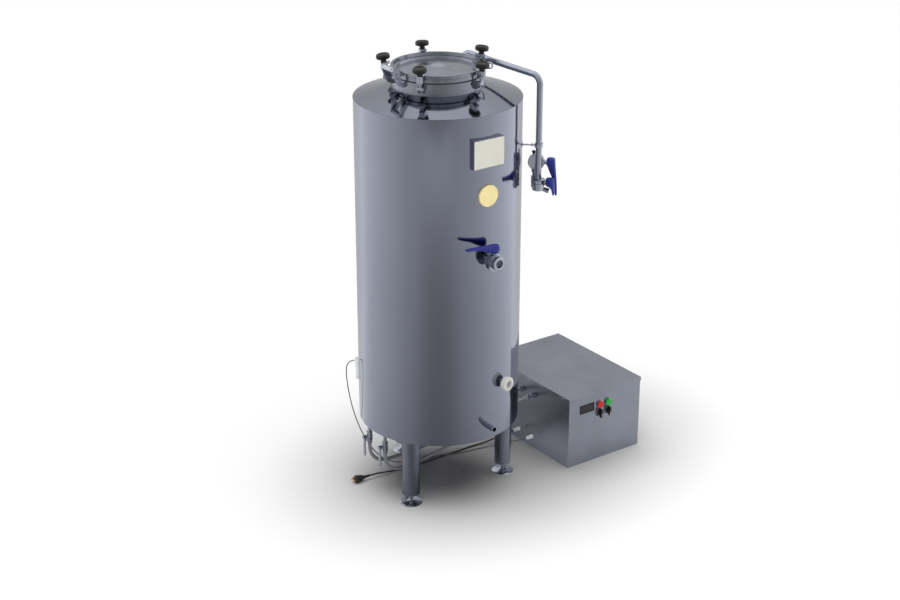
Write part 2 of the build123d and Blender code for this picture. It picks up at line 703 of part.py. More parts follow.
def fill_pipe():
    """One bent tube, from the lower valve over the rim and down through the top cone."""
    low = LOWER_VALVE_Z + FILL_VALVE_T / 2
    end = VESSEL_TOP - 60.0
    path = FilletPolyline(
        (FILL_TOP[0], FILL_TOP[1], low), FILL_TOP, FILL_ENTRY, (FILL_ENTRY[0], FILL_ENTRY[1], end),
        radius=FILL_BEND_R,
    )
    outer = sweep(Plane(path @ 0, z_dir=path % 0) * Circle(FILL_R), path=path)
    inner = sweep(Plane(path @ 0, z_dir=path % 0) * Circle(FILL_R - PIPE_WALL), path=path)
    cone_z = SHELL_TOP + (SHELL_R - hypot(FILL_ENTRY[0], FILL_ENTRY[1])) * CONE_SLOPE
    collar = upright(FILL_ENTRY_COLLAR_R, cone_z - 12, cone_z + 14, FILL_ENTRY[0], FILL_ENTRY[1])
    collar -= revolved([
        (0, CONE_TOP - 200), (SHELL_R, CONE_TOP - 200), (SHELL_R, SHELL_TOP), (NECK_R, CONE_TOP),
        (0, CONE_TOP),
    ])
    return outer + collar - inner


def fill_pipe_bracket():
    """A thin rod from the skin to a split collar round the fill pipe."""
    inner, outer = FILL_R, FILL_R + 5.0
    collar = upright(outer, -9, 9) - upright(inner, -9, 9)
    collar += rod((-outer - 10, -5, 0), (-outer - 10, 5, 0), 6) & slab(-40, -outer, -9, 9, -9, 9)
    place = fill_frame(FILL_PLAN_R, BRACKET_Z)
    bar = rod((SHELL_R - FILL_PLAN_R - 8, 0, 0), (-outer + 1, 0, 0), BRACKET_ROD_R)
    foot_plate = rod((SHELL_R - FILL_PLAN_R - 8, 0, 0), (SHELL_R - FILL_PLAN_R + 3, 0, 0), 11)
    return place * (collar + bar + foot_plate) - upright(SHELL_R, BRACKET_Z - 20, BRACKET_Z + 20)


def radial_place(x, y, z, x_dir):
    """A frame near the fill pipe: its Z points away from the tank's axis."""
    frame = fill_frame(FILL_PLAN_R, z)
    origin = (frame * Pos(x, y, 0)).position
    out = Vector(*polar(1, FILL_ANGLE, 0))
    along = Vector(*polar(1, FILL_ANGLE + 90, 0)) if x_dir == "along" else Vector(0, 0, 1)
    return Plane(origin, x_dir=along, z_dir=out).location


def fill_valve_bodies():
    """A bypass beside the fill pipe: upper valve, riser, and the lower valve over a chamber."""
    back, side = RISER_BACK, -RISER_IN
    top, low = UPPER_VALVE_Z, LOWER_VALVE_Z
    half = FILL_VALVE_T / 2
    under = low - half - CHAMBER_H
    bore = FILL_R - PIPE_WALL
    drum = rod((side, back - half, top), (side, back + half, top), UPPER_VALVE_R)
    drum = chamfer(drum.edges().group_by(Axis.Y)[0], 2)
    drum += rod((side, back - half - 3, top), (side, back - half, top), UPPER_VALVE_R - 9)
    drum += rod((side, back, top), (FILL_HUB_OUT - 0.5, back, top), SPINDLE_R + 4)
    drum += rod((0, FILL_R - 3, top + 16), (side, back, top + 16), 10)
    riser = upright(RISER_R, under + 10, top, side, back)
    riser += upright(RISER_R + 6, low - half, low + half, side, back)
    riser += upright(RISER_R + 4, top - 46, top - 34, side, back)
    chamber = upright(CHAMBER_R, under, low - half)
    chamber = chamfer(chamber.edges().group_by(Axis.Z)[0], 3)
    chamber += upright(CHAMBER_R - 5, under, low, side, back)
    valve = upright(LOWER_VALVE_R, low - half, low + half)
    valve -= upright(LOWER_VALVE_R + 1, low - 3, low + 3) - upright(LOWER_VALVE_R - 4, low - 3, low + 3)
    valve += rod((0, 0, low), (FILL_HUB_OUT - 0.5, 0, low), SPINDLE_R + 4)
    stub_in, stub_out = (0, 0, under + 12), (FILL_STUB_OUT, 4, under - 5)
    lip = (FILL_STUB_OUT * 0.8, 3.2, under - 1.6)
    stub = rod(stub_in, stub_out, FILL_STUB_R) + rod(lip, stub_out, FILL_STUB_R + 1)
    body = drum + riser + chamber + valve + stub
    body -= upright(bore, under + 14, top + 20, side, back)
    body -= upright(bore, under + 5, low + half + 1)
    body -= rod((0, 0, under + 14), (side, back, under + 14), 8)
    body -= rod((0, FILL_R - 4, top + 16), (side, back, top + 16), 8)
    beyond = (FILL_STUB_OUT * 1.05, 4.2, under - 5.85)
    body -= rod(stub_in, beyond, FILL_STUB_R - 3)
    for y, z in ((back, top), (0, low)):
        body -= rod((0, y, z), (FILL_HUB_OUT, y, z), SPINDLE_R + RUNNING_GAP)
    body -= rod((side, back, top), (0, back, top), SPINDLE_R + RUNNING_GAP)
    body -= upright(FILL_R, low + half, top + 60)
    vent = Pos(side - 12, back, top + UPPER_VALVE_R + 9) * Sphere(8)
    vent += upright(4, top + UPPER_VALVE_R - 6, top + UPPER_VALVE_R + 5, side - 12, back)
    return fill_frame(FILL_PLAN_R, 0) * joined([body, vent - body])


def fill_handle(y, z, centre, x_dir):
    """A butterfly handle on the bypass; centre is where the disc stands on the spindle."""
    disc_r = FILL_R - PIPE_WALL - 0.5
    handle = valve_handle(FILL_HUB_OUT - centre - disc_r, disc_r, 0)
    return radial_place(FILL_HUB_OUT, y, z, x_dir) * handle


def upper_fill_handle():
    return fill_handle(RISER_BACK, UPPER_VALVE_Z, -RISER_IN, "up")


def lower_fill_handle():
    return fill_handle(0, LOWER_VALVE_Z, 0, "along")


# ---------------------------------------------------------------- coolant connections
def coolant_valves():
    """Under the tank: tubes from the jacket, a small valve on each, and a hose barb."""
    pieces = []
    high = COOLANT_VALVE_Z + COOLANT_VALVE_H / 2
    low = COOLANT_VALVE_Z - COOLANT_VALVE_H / 2
    bore = 5.0
    for y in COOLANT_YS:
        top, end = coolant_points(y)
        knee = Pos(*top) * Sphere(COOLANT_R)
        tube = rod((COOLANT_X, y, high), top, COOLANT_R) + knee + rod(top, end, COOLANT_R)
        tube -= rod((COOLANT_X, y, high - 1), top, COOLANT_R - PIPE_WALL)
        tube -= Pos(*top) * Sphere(COOLANT_R - PIPE_WALL) + rod(top, end, COOLANT_R - PIPE_WALL)
        body = upright(COOLANT_VALVE_R, low, high, COOLANT_X, y)
        body -= upright(20, low + 9, low + 12, COOLANT_X, y) - upright(
            COOLANT_VALVE_R - 3, low + 9, low + 12, COOLANT_X, y
        )
        neck = (COOLANT_X, y, COOLANT_VALVE_Z)
        tip = (COOLANT_X - COOLANT_SPINDLE + 5, y, COOLANT_VALVE_Z)
        body += rod(neck, tip, 7)
        body += upright(bore + 3, low - 14, low, COOLANT_X, y)
        body -= upright(bore, low - 15, high + 1, COOLANT_X, y)
        body -= rod(neck, (tip[0] - 1, y, tip[2]), 3 + RUNNING_GAP)
        pieces += [tube, body]
    return joined(pieces)


def coolant_lever(y):
    """A flat bar on a small spindle, hanging down beside its valve."""
    x0 = COOLANT_X - COOLANT_SPINDLE
    z = COOLANT_VALVE_Z
    bar = slab(x0 - LEVER_T, x0, y - LEVER_W / 2, y + LEVER_W / 2, z - LEVER_LENGTH, z)
    bar = fillet(bar.edges().filter_by(Axis.X).group_by(Axis.Z)[0], LEVER_W / 2 - 0.5)
    boss = rod((x0 - LEVER_T - 5, y, z), (x0 + 4, y, z), 9.5)
    spindle = rod((x0 - 1, y, z), (COOLANT_X, y, z), 3)
    ball = Pos(COOLANT_X, y, z) * Sphere(4.6)
    return bar + boss + spindle + ball


def cord_tube(name, points, diameter):
    """A cord as straight runs joined by arcs; the arcs' radii are printed with its length."""
    runs = [Vector(*b) - Vector(*a) for a, b in zip(points, points[1:])]
    radii = []
    for before, after in zip(runs, runs[1:]):
        half = radians(before.get_angle(after)) / 2
        radii.append(0.45 * min(before.length, after.length) / tan(half))
    path = FilletPolyline(*points, radius=tuple(radii))
    tube = sweep(Plane(path @ 0, z_dir=path % 0) * Circle(diameter / 2), path=path)
    solid_part = tube.volume / (3.14159265 * diameter**2 / 4 * path.length)
    print(
        f"{name}: length {path.length:.0f} mm, volume over section x length {solid_part:.4f},",
        f"tightest radius {min(radii) / diameter:.1f} diameters, radii",
        [round(r) for r in radii],
    )
    return tube


HOSE_TOP = COOLANT_VALVE_Z - COOLANT_VALVE_H / 2 - 14.0
HOSE_END = UNIT_X - 26.0
GLAND_TIP = UNIT_X - GLAND_LENGTH - 1.0


def hose_1():
    x, y = COOLANT_X, COOLANT_YS[0]
    end_y, end_z = HOSE_PORT_YS[0], HOSE_PORT_Z - 2
    return cord_tube("hose_1", [
        (x, y, HOSE_TOP), (x, y, 188), (x + 20, y - 1, 148), (x + 56, y - 3, 123),
        (x + 110, y - 6, 116), (-140, 77, 118), (-30, 72, 128), (90, 68, 146), (210, 65, 172),
        (UNIT_X - 214, 62, 205), (UNIT_X - 139, 59, 243), (UNIT_X - 78, end_y, end_z),
        (HOSE_END, end_y, end_z),
    ], HOSE_D)


def hose_2():
    x, y = COOLANT_X, COOLANT_YS[1]
    end_y, end_z = HOSE_PORT_YS[1], HOSE_PORT_Z + 2
    return cord_tube("hose_2", [
        (x, y, HOSE_TOP), (x, y, 192), (x + 20, y, 153), (x + 62, y + 1, 127),
        (x + 112, y + 1, 123), (-130, -43, 131), (-20, -42, 148), (95, -42, 171), (215, -42, 200),
        (UNIT_X - 209, -42, 233), (UNIT_X - 134, -41.5, 258), (UNIT_X - 78, end_y, end_z),
        (HOSE_END, end_y, end_z),
    ], HOSE_D)


def hose_fittings():
    """A nut with a barb on the unit's face, and a clamp on each end of both hoses."""
    pieces = []
    wall = UNIT_X
    r = HOSE_D / 2
    for y, z in ((HOSE_PORT_YS[0], HOSE_PORT_Z - 2), (HOSE_PORT_YS[1], HOSE_PORT_Z + 2)):
        nut = Plane((wall, y, z), z_dir=(-1, 0, 0)) * extrude(RegularPolygon(r + 7, 6), amount=9)
        barb = rod((wall - 9, y, z), (HOSE_END, y, z), r) + rod((wall - 9, y, z), (wall + 14, y, z), r)
        clamp = pipe((HOSE_END + 6, y, z), (HOSE_END - 9, y, z), r + 4, r)
        clamp += slab(HOSE_END - 7, HOSE_END + 4, y - 5, y + 5, z + r + 2, z + r + 8)
        pieces += [nut + barb - rod((HOSE_END - 1, y, z), (wall + 15, y, z), 5.0), clamp]
    for y in COOLANT_YS:
        collar = pipe((COOLANT_X, y, HOSE_TOP), (COOLANT_X, y, HOSE_TOP + 12), r + 3, 8.0)
        pieces.append(collar)
    return joined(pieces)


# ---------------------------------------------------------------- cables
SENSOR_EXIT = polar(SHELL_R + 22.0, SENSOR_ANGLE, SENSOR_Z)
GLAND_2_END = (GLAND_TIP, GLAND_YS[1], GLAND_Z)
GLAND_1_END = (GLAND_TIP, GLAND_YS[0], GLAND_Z)


def beside_skin(out, z):
    """A point of the sensor's cable where it hangs down beside the tank."""
    return polar(SHELL_R + out, SENSOR_ANGLE, z)


def sensor_cord():
    return cord_tube("sensor_cord", [
        SENSOR_EXIT, beside_skin(39, 614), beside_skin(54, 598), beside_skin(59, 570),
        beside_skin(57, 520), beside_skin(50, 460), beside_skin(39.5, 398), beside_skin(24, 335),
        beside_skin(4.5, 272), (-306, 180, 212), (-276, 173, 154), (-237, 170, 100),
        (-188, 172, 55), (-133, 178, 23), (-73, 178, 6), (-12, 165, 3.2), (43, 145, 6),
        (97, 126, 13.5), (152, 111, 6), (212, 100, 3.2), (276, 92, 3), (UNIT_X - 196, 80, 4.5),
        (UNIT_X - 141, 55, 12), (UNIT_X - 102, 22, 27), (UNIT_X - 77, -10, 42),
        (UNIT_X - 60, -33, 52), GLAND_2_END,
    ], SENSOR_D)


def plug_place(along):
    """A point on the plug's axis, measured from the end of its body towards the pins."""
    return (
        PLUG_AT[0] + along * cos(radians(PLUG_ANGLE)),
        PLUG_AT[1] + along * sin(radians(PLUG_ANGLE)),
        PLUG_R,
    )


def mains_cord():
    return cord_tube("mains_cord", [
        GLAND_1_END, (UNIT_X - 64, 65, 54), (UNIT_X - 88, 77, 43), (UNIT_X - 113, 93, 28),
        (UNIT_X - 146, 109, 14), (UNIT_X - 192, 121, 5.5), (277, 126, 4.2), (190, 124, 4.5),
        (97, 126, 4.2), (0, 122.5, 4.5), (-85, 130, 4.2),
        (-150, 135, 5.5), (-200, 138, 10), (-243, 140.5, 16), (-273, 142.3, 18.6), plug_place(-34),
    ], MAINS_D)


def mains_plug():
    """A rubber plug on its side with three pins; the relief narrows towards the cable."""
    outline = [
        (0, -34), (MAINS_D / 2 + 1.2, -34), (MAINS_D / 2 + 2, -30), (MAINS_D / 2 + 2, -27),
        (MAINS_D / 2 + 1.5, -26), (MAINS_D / 2 + 2.2, -23), (MAINS_D / 2 + 3, -19),
        (MAINS_D / 2 + 2.4, -18), (MAINS_D / 2 + 3.6, -11), (MAINS_D / 2 + 3, -10),
        (MAINS_D / 2 + 4.5, -2), (PLUG_R - 6, 6), (PLUG_R - 3, 16), (PLUG_R - 3, 26),
        (PLUG_R, 32), (PLUG_R, 42), (PLUG_R - 1.5, 44), (0, 44),
    ]
    body = revolved(outline)
    pins = [
        Pos(9.5, 0, 43) * Cylinder(2.4, 20, align=(Align.CENTER, Align.CENTER, Align.MIN)),
        Pos(-9.5, 0, 43) * Cylinder(2.4, 20, align=(Align.CENTER, Align.CENTER, Align.MIN)),
        Pos(0, 11, 43) * Cylinder(3.2, 16, align=(Align.CENTER, Align.CENTER, Align.MIN)),
    ]
    pins = [chamfer(pin.edges().group_by(Axis.Z)[-1], 1.0) - body for pin in pins]
    axis = Vector(*polar(1, PLUG_ANGLE, 0))
    side = Vector(*polar(1, PLUG_ANGLE + 90, 0))
    return Plane(plug_place(0), x_dir=side, z_dir=axis).location * joined([body] + pins)


def cable_glands():
    """Both glands on the unit's face, and the sensor pocket with its gland on the tank."""
    pieces = []
    for y in GLAND_YS:
        body = rod((UNIT_X, y, GLAND_Z), (UNIT_X - GLAND_LENGTH + 9, y, GLAND_Z), GLAND_R)
        body += rod(
            (UNIT_X - GLAND_LENGTH + 9, y, GLAND_Z), (UNIT_X - GLAND_LENGTH, y, GLAND_Z), GLAND_R - 2
        )
        body = chamfer(body.edges().group_by(Axis.X)[0], 1.5)
        nut = Plane((UNIT_X, y, GLAND_Z), z_dir=(-1, 0, 0)) * extrude(
            RegularPolygon(GLAND_R + 3, 6), amount=6
        )
        inner = rod((UNIT_X - 0.5, y, GLAND_Z), (UNIT_X + 10, y, GLAND_Z), GLAND_R)
        pieces.append(body + nut + inner)
    place = Pos(0, 0, SENSOR_Z) * Rot(0, 0, SENSOR_ANGLE)
    pocket = slab(SHELL_R - 10, SHELL_R + 15, -12, 12, -92, 13)
    pocket = fillet(pocket.edges().filter_by(Axis.Z).group_by(Axis.X)[-1], 6)
    pocket += rod((SHELL_R + 14, 0, 0), (SHELL_R + 21, 0, 0), 5.5)
    pieces.append(place * pocket - upright(SHELL_R, SENSOR_Z - 100, SENSOR_Z + 100))
    return joined(pieces)


# ---------------------------------------------------------------- cooling unit
def front_hole(x, z, radius):
    return rod((UNIT_X + x, UNIT_FRONT - 5, z), (UNIT_X + x, UNIT_FRONT + 10, z), radius)


def display_place(grow):
    """The block of the display window, with a margin on its four edges."""
    x, w, h = UNIT_X + DISPLAY_X, DISPLAY_W / 2 + grow, DISPLAY_H / 2 + grow
    return slab(x - w, x + w, UNIT_FRONT - 2, UNIT_FRONT + 12, DISPLAY_Z - h, DISPLAY_Z + h)


def unit_casing():
    """Four sheet walls, with the openings for the controls, the hoses and the air."""
    t = UNIT_SHEET
    top = UNIT_H - t
    body = slab(UNIT_X, UNIT_RIGHT, UNIT_FRONT, UNIT_BACK, 0, top)
    body = fillet(body.edges().filter_by(Axis.Z), 3)
    body -= slab(UNIT_X + t, UNIT_RIGHT - t, UNIT_FRONT + t, UNIT_BACK - t, -1, top + 1)
    body -= display_place(0)
    for x in BUTTON_XS:
        body -= front_hole(x, BUTTON_Z, BUTTON_STEM_R + 0.3)
        body -= front_hole(x, SELECTOR_Z, SELECTOR_STEM_R + RUNNING_GAP)
    for y, z in ((HOSE_PORT_YS[0], HOSE_PORT_Z - 2), (HOSE_PORT_YS[1], HOSE_PORT_Z + 2)):
        body -= rod((UNIT_X - 5, y, z), (UNIT_X + 5, y, z), HOSE_D / 2)
    for y in GLAND_YS:
        body -= rod((UNIT_X - 5, y, GLAND_Z), (UNIT_X + 5, y, GLAND_Z), GLAND_R)
    pitch, slot = 15.0, 7.0
    for k in range(14):
        z = 75 + k * pitch
        for x0, x1 in ((60, 210), (238, 388)):
            body -= slab(UNIT_X + x0, UNIT_X + x1, UNIT_BACK - 5, UNIT_BACK + 5, z, z + slot)
    for k in range(8):
        z = 90 + k * pitch
        body -= slab(UNIT_RIGHT - 5, UNIT_RIGHT + 5, UNIT_Y + 190, UNIT_Y + 330, z, z + slot)
    return body


def unit_lid():
    over, t, drop = UNIT_LID_OVER, UNIT_SHEET, UNIT_LID_DROP
    gap = 0.4
    body = slab(
        UNIT_X - over, UNIT_RIGHT + over, UNIT_FRONT - over, UNIT_BACK + over,
        UNIT_H - drop, UNIT_H,
    )
    body = fillet(body.edges().filter_by(Axis.Z), 4)
    body -= slab(
        UNIT_X - over + t, UNIT_RIGHT + over - t, UNIT_FRONT - over + t, UNIT_BACK + over - t,
        UNIT_H - drop - 1, UNIT_H - t,
    )
    rim = slab(
        UNIT_X + UNIT_SHEET + gap, UNIT_RIGHT - UNIT_SHEET - gap, UNIT_FRONT + UNIT_SHEET + gap,
        UNIT_BACK - UNIT_SHEET - gap, UNIT_H - 10, UNIT_H - t,
    )
    rim -= slab(
        UNIT_X + 8, UNIT_RIGHT - 8, UNIT_FRONT + 8, UNIT_BACK - 8, UNIT_H - 11, UNIT_H - t,
    )
    return body + rim


def unit_tray():
    t = UNIT_SHEET
    x0, x1, y0, y1 = UNIT_X + t, UNIT_RIGHT - t, UNIT_FRONT + t, UNIT_BACK - t
    body = slab(x0, x1, y0, y1, 0, TRAY_H)
    return body - slab(x0 + t, x1 - t, y0 + t, y1 - t, 3, TRAY_H + 1)


def display_window():
    window = display_place(-0.15) & slab(
        UNIT_X, UNIT_RIGHT, UNIT_FRONT - 1, UNIT_FRONT + 8, 0, UNIT_H
    )
    return window


def push_button(x):
    """A domed cap on a stem that slides through the front wall."""
    cap = revolved([
        (0, -BUTTON_TRAVEL - 8), (BUTTON_STEM_R, -BUTTON_TRAVEL - 8),
        (BUTTON_STEM_R, BUTTON_TRAVEL + 0.8),
        (BUTTON_R, BUTTON_TRAVEL + 0.8), (BUTTON_R, BUTTON_TRAVEL + 5),
        (BUTTON_R - 3, BUTTON_TRAVEL + 8), (BUTTON_R - 9, BUTTON_TRAVEL + 9), (0, BUTTON_TRAVEL + 9),
    ])
    return Pos(UNIT_X + x, UNIT_FRONT, BUTTON_Z) * Rot(90, 0, 0) * cap


def selector(x):
    """A round switch with a grip bar across it that points down."""
    knob = revolved([
        (0, -12), (SELECTOR_STEM_R, -12), (SELECTOR_STEM_R, 0.4), (SELECTOR_R, 0.4),
        (SELECTOR_R, 5), (SELECTOR_R - 3, 8), (0, 8),
    ])
    bar = Pos(0, -5, 7) * Box(
        10, 2 * SELECTOR_R + 10, 16, align=(Align.CENTER, Align.CENTER, Align.MIN)
    )
    bar = fillet(bar.edges().filter_by(Axis.Z), 3)
    return Pos(UNIT_X + x, UNIT_FRONT, SELECTOR_Z) * Rot(90, 0, 0) * (knob + bar)


FAN_CENTRE = (UNIT_X + 224.0, UNIT_BACK - 88.0, 178.0)


def refrigeration_set():
    """Compressor, coolant bath with pump, condenser and fan motor on the tray."""
    base = 3.0
    cx, cy = UNIT_X + 120, UNIT_Y + 330
    compressor = Pos(cx, cy, base) * revolved([
        (0, 0), (70, 0), (70, 12), (78, 22), (78, 92), (83, 94), (83, 102), (78, 104), (76, 150),
        (60, 178), (34, 190), (0, 193),
    ])
    hollow = [(0, 6), (66, 6), (72, 24), (70, 148), (54, 172), (0, 186)]
    compressor -= Pos(cx, cy, base) * revolved(hollow)
    bath = slab(UNIT_X + 230, UNIT_X + 425, UNIT_Y + 60, UNIT_Y + 330, base, 265)
    bath = fillet(bath.edges().filter_by(Axis.Z), 12)
    bath -= slab(UNIT_X + 233, UNIT_X + 422, UNIT_Y + 63, UNIT_Y + 327, base + 3, 262)
    pump = rod((UNIT_X + 118, UNIT_Y + 100, 55), (UNIT_X + 118, UNIT_Y + 215, 55), 38)
    pump += rod((UNIT_X + 118, UNIT_Y + 80, 55), (UNIT_X + 118, UNIT_Y + 100, 55), 46)
    pump += slab(UNIT_X + 85, UNIT_X + 151, UNIT_Y + 110, UNIT_Y + 200, base, 30)
    fx, fy, fz = FAN_CENTRE
    back = UNIT_BACK - UNIT_SHEET - 2
    coil = slab(fx - 150, fx + 150, back - 42, back, base, 330)
    shroud = slab(fx - 150, fx + 150, back - 82, back - 42, base, 330)
    shroud -= rod((fx, back - 90, fz), (fx, back - 42, fz), FAN_R + 6)
    motor = rod((fx, fy - 90, fz), (fx, fy - 25, fz), 34)
    motor += rod((fx, fy - 25, fz), (fx, fy + 4, fz), 5)
    stand = slab(fx - 20, fx + 20, fy - 84, fy - 40, base, fz)
    return joined([compressor, bath, pump, coil + shroud, motor + stand])


def condenser_fan():
    """A hub with five pitched blades that turns on the motor's shaft."""
    hub = upright(30, -10, 14) - upright(5 + RUNNING_GAP, -5, 20)
    blades = []
    for k in range(5):
        blade = Pos((FAN_R + 26) / 2, 0, 0) * Rot(24, 0, 0) * Box(FAN_R - 26, 52, 2.5)
        blade &= upright(FAN_R, -30, 30)
        blades.append(Rot(0, 0, 72 * k) * blade)
    for blade in blades:
        hub += blade
    return Pos(*FAN_CENTRE) * Rot(90, 0, 0) * hub


# ---------------------------------------------------------------- all pieces
def build_all():
    nodes["outer_shell"] = outer_shell()
    nodes["top_cone"] = top_cone()
    nodes["bottom_plate"] = bottom_plate()
    nodes["insulation"] = insulation()
    nodes["inner_vessel"] = inner_vessel()
    nodes["cooling_jacket"] = cooling_jacket()
    nodes["vessel_nozzles"] = vessel_nozzles()
    nodes["legs"] = legs()
    for k, angle in enumerate(LEG_ANGLES, 1):
        nodes[f"foot_{k}"] = foot(angle)
    nodes["manway_neck"] = manway_neck()
    nodes["clamp_brackets"] = clamp_brackets()
    nodes["lid_hinge_bracket"] = lid_hinge_bracket()
    nodes["lid_gasket"] = lid_gasket()
    nodes["lid"] = lid()
    nodes["lid_cap"] = lid_cap()
    nodes["lid_handle"] = lid_handle()
    nodes["lid_hinge_arm"] = lid_hinge_arm()
    for k, angle in enumerate(BOLT_ANGLES, 1):
        nodes[f"clamp_bolt_{k}"] = clamp_bolt(angle)
        nodes[f"clamp_knob_{k}"] = clamp_knob(angle)
    nodes["panel_box"] = panel_box()
    nodes["dial_disc"] = dial_disc()
    nodes["outlet_valve_body"] = outlet_valve_body()
    nodes["outlet_valve_handle"] = outlet_valve_handle()
    nodes["outlet_union"] = outlet_union()
    nodes["sample_port_nut"] = sample_port_nut()
    nodes["fill_pipe"] = fill_pipe()
    nodes["fill_pipe_bracket"] = fill_pipe_bracket()
    nodes["fill_valve_bodies"] = fill_valve_bodies()
    nodes["upper_fill_handle"] = upper_fill_handle()
    nodes["lower_fill_handle"] = lower_fill_handle()
    nodes["coolant_valves"] = coolant_valves()
    for k, y in enumerate(COOLANT_YS, 1):
        nodes[f"coolant_lever_{k}"] = coolant_lever(y)
    nodes["hose_1"] = hose_1()
    nodes["hose_2"] = hose_2()
    nodes["hose_fittings"] = hose_fittings()
    nodes["cable_glands"] = cable_glands()
    nodes["sensor_cord"] = sensor_cord()
    nodes["mains_cord"] = mains_cord()
    nodes["mains_plug"] = mains_plug()
    nodes["unit_casing"] = unit_casing()
    nodes["unit_lid"] = unit_lid()
    nodes["unit_tray"] = unit_tray()
    nodes["display_window"] = display_window()
    nodes["red_button"] = push_button(BUTTON_XS[0])
    nodes["green_button"] = push_button(BUTTON_XS[1])
    nodes["selector_left"] = selector(BUTTON_XS[0])
    nodes["selector_right"] = selector(BUTTON_XS[1])
    nodes["refrigeration_set"] = refrigeration_set()
    nodes["condenser_fan"] = condenser_fan()


CORDS = ("hose_1", "hose_2", "sensor_cord", "mains_cord", "mains_plug")

build_all()
solid_box = Compound(children=[s for n, p in nodes.items() if n not in CORDS for s in p.solids()])
low, high = solid_box.bounding_box().min, solid_box.bounding_box().max
offset = Pos(-(low.X + high.X) / 2, -(low.Y + high.Y) / 2, -low.Z)
print("offset", offset.position, "size", high - low)
for name, piece in nodes.items():
    moved = offset * piece
    solids = moved.solids()
    if not solids or min(s.volume for s in solids) <= 0 or not all(s.is_valid for s in solids):
        print("look at", name, len(solids))
    export_step(moved if len(solids) > 1 else solids[0], f"parts/{name}.step")
    box = moved.bounding_box()
    print(f"{name}: {len(solids)} solids, {box.min}, {box.max}, volume {moved.volume:.0f}")
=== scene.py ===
# %% [markdown]
# # An upright milk cooling tank
# The tank is an insulated steel drum on three legs, with a clamped lid, valves and a cooling
# unit beside it. The solid model of every piece is loaded first, as a fixed frame. Blender adds
# the finishes, the light, the hoses and cables, and the details that are easier to shape here.

# %% Load the frame
from math import cos, pi, radians, sin

import bmesh
import bpy
from mathutils import Matrix, Vector


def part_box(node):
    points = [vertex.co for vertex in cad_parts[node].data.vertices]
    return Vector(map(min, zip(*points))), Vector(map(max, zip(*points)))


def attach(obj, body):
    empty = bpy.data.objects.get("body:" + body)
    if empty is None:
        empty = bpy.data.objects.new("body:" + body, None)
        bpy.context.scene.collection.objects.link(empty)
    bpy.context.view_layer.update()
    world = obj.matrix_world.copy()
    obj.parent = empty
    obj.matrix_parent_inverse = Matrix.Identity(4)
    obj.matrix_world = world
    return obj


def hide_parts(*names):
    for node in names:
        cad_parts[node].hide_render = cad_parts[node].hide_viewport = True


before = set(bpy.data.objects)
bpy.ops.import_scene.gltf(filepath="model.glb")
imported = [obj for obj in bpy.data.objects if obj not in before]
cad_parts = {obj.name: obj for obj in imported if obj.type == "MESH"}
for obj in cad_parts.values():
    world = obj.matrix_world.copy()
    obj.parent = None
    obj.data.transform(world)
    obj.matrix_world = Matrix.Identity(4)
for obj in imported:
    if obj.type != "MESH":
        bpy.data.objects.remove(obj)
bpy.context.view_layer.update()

# %% [markdown]
# The tank's own drawing counts in millimetres from the tank's axis. The frame's origin lies
# elsewhere, so one helper turns a drawing position into a position here. It finds the axis from
# the box of the outer shell, and nothing else in the file has to know about the offset.

# %% Positions
shell_low, shell_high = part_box("outer_shell")
AXIS_X = (shell_low[0] + shell_high[0]) / 2
AXIS_Y = (shell_low[1] + shell_high[1]) / 2
MM = 0.001


def at(x, y, z):
    """A point of the drawing, in millimetres from the tank's axis, as a place here."""
    return Vector((AXIS_X + x * MM, AXIS_Y + y * MM, z * MM))


def polar(radius, angle, z):
    return radius * cos(radians(angle)), radius * sin(radians(angle)), z


print("tank axis at", round(AXIS_X, 4), round(AXIS_Y, 4))

# %% [markdown]
# ## Building trees of nodes
# Finishes, the room's light and the repeated shapes are all trees of nodes. Adding arithmetic
# node by node is slow to write and hard to read, so one class lets Python's own operators add the
# Math nodes: `clouds * 0.75 + streak * 0.25` becomes three nodes. Every other node comes from one
# method, which sets the node up and then joins its sockets.


# %% Shader arithmetic
class Amount:
    """A number that varies over a surface. Its operators add Math nodes to the same tree."""

    def __init__(self, owner, socket):
        self.owner = owner
        self.socket = socket

    def _with(self, operation, first, second):
        return self.owner.amount("ShaderNodeMath", {"operation": operation}, {0: first, 1: second})

    def __add__(self, other):
        return self._with("ADD", self, other)

    def __radd__(self, other):
        return self._with("ADD", other, self)

    def __mul__(self, other):
        return self._with("MULTIPLY", self, other)

    def __rmul__(self, other):
        return self._with("MULTIPLY", other, self)


class Nodes:
    """A tree of nodes under construction."""

    def __init__(self, tree):
        self.tree = tree

    def join(self, value, socket):
        if isinstance(value, Amount):
            value = value.socket
        if isinstance(value, bpy.types.NodeSocket):
            self.tree.links.new(value, socket)
        else:
            socket.default_value = value

    def node(self, kind, settings=None, inputs=None):
        """A new node: its settings first, then the values or links of its sockets."""
        made = self.tree.nodes.new(kind)
        for key, value in (settings or {}).items():
            if key == "stops":
                ramp = made.color_ramp
                while len(ramp.elements) < len(value):
                    ramp.elements.new(0.5)
                for element, (place, tone) in zip(ramp.elements, value):
                    element.position = place
                    element.color = (*tone, 1)
            else:
                setattr(made, key, value)
        for key, value in (inputs or {}).items():
            self.join(value, made.inputs[key])
        return made

    def amount(self, kind, settings=None, inputs=None, output=0):
        return Amount(self, self.node(kind, settings, inputs).outputs[output])


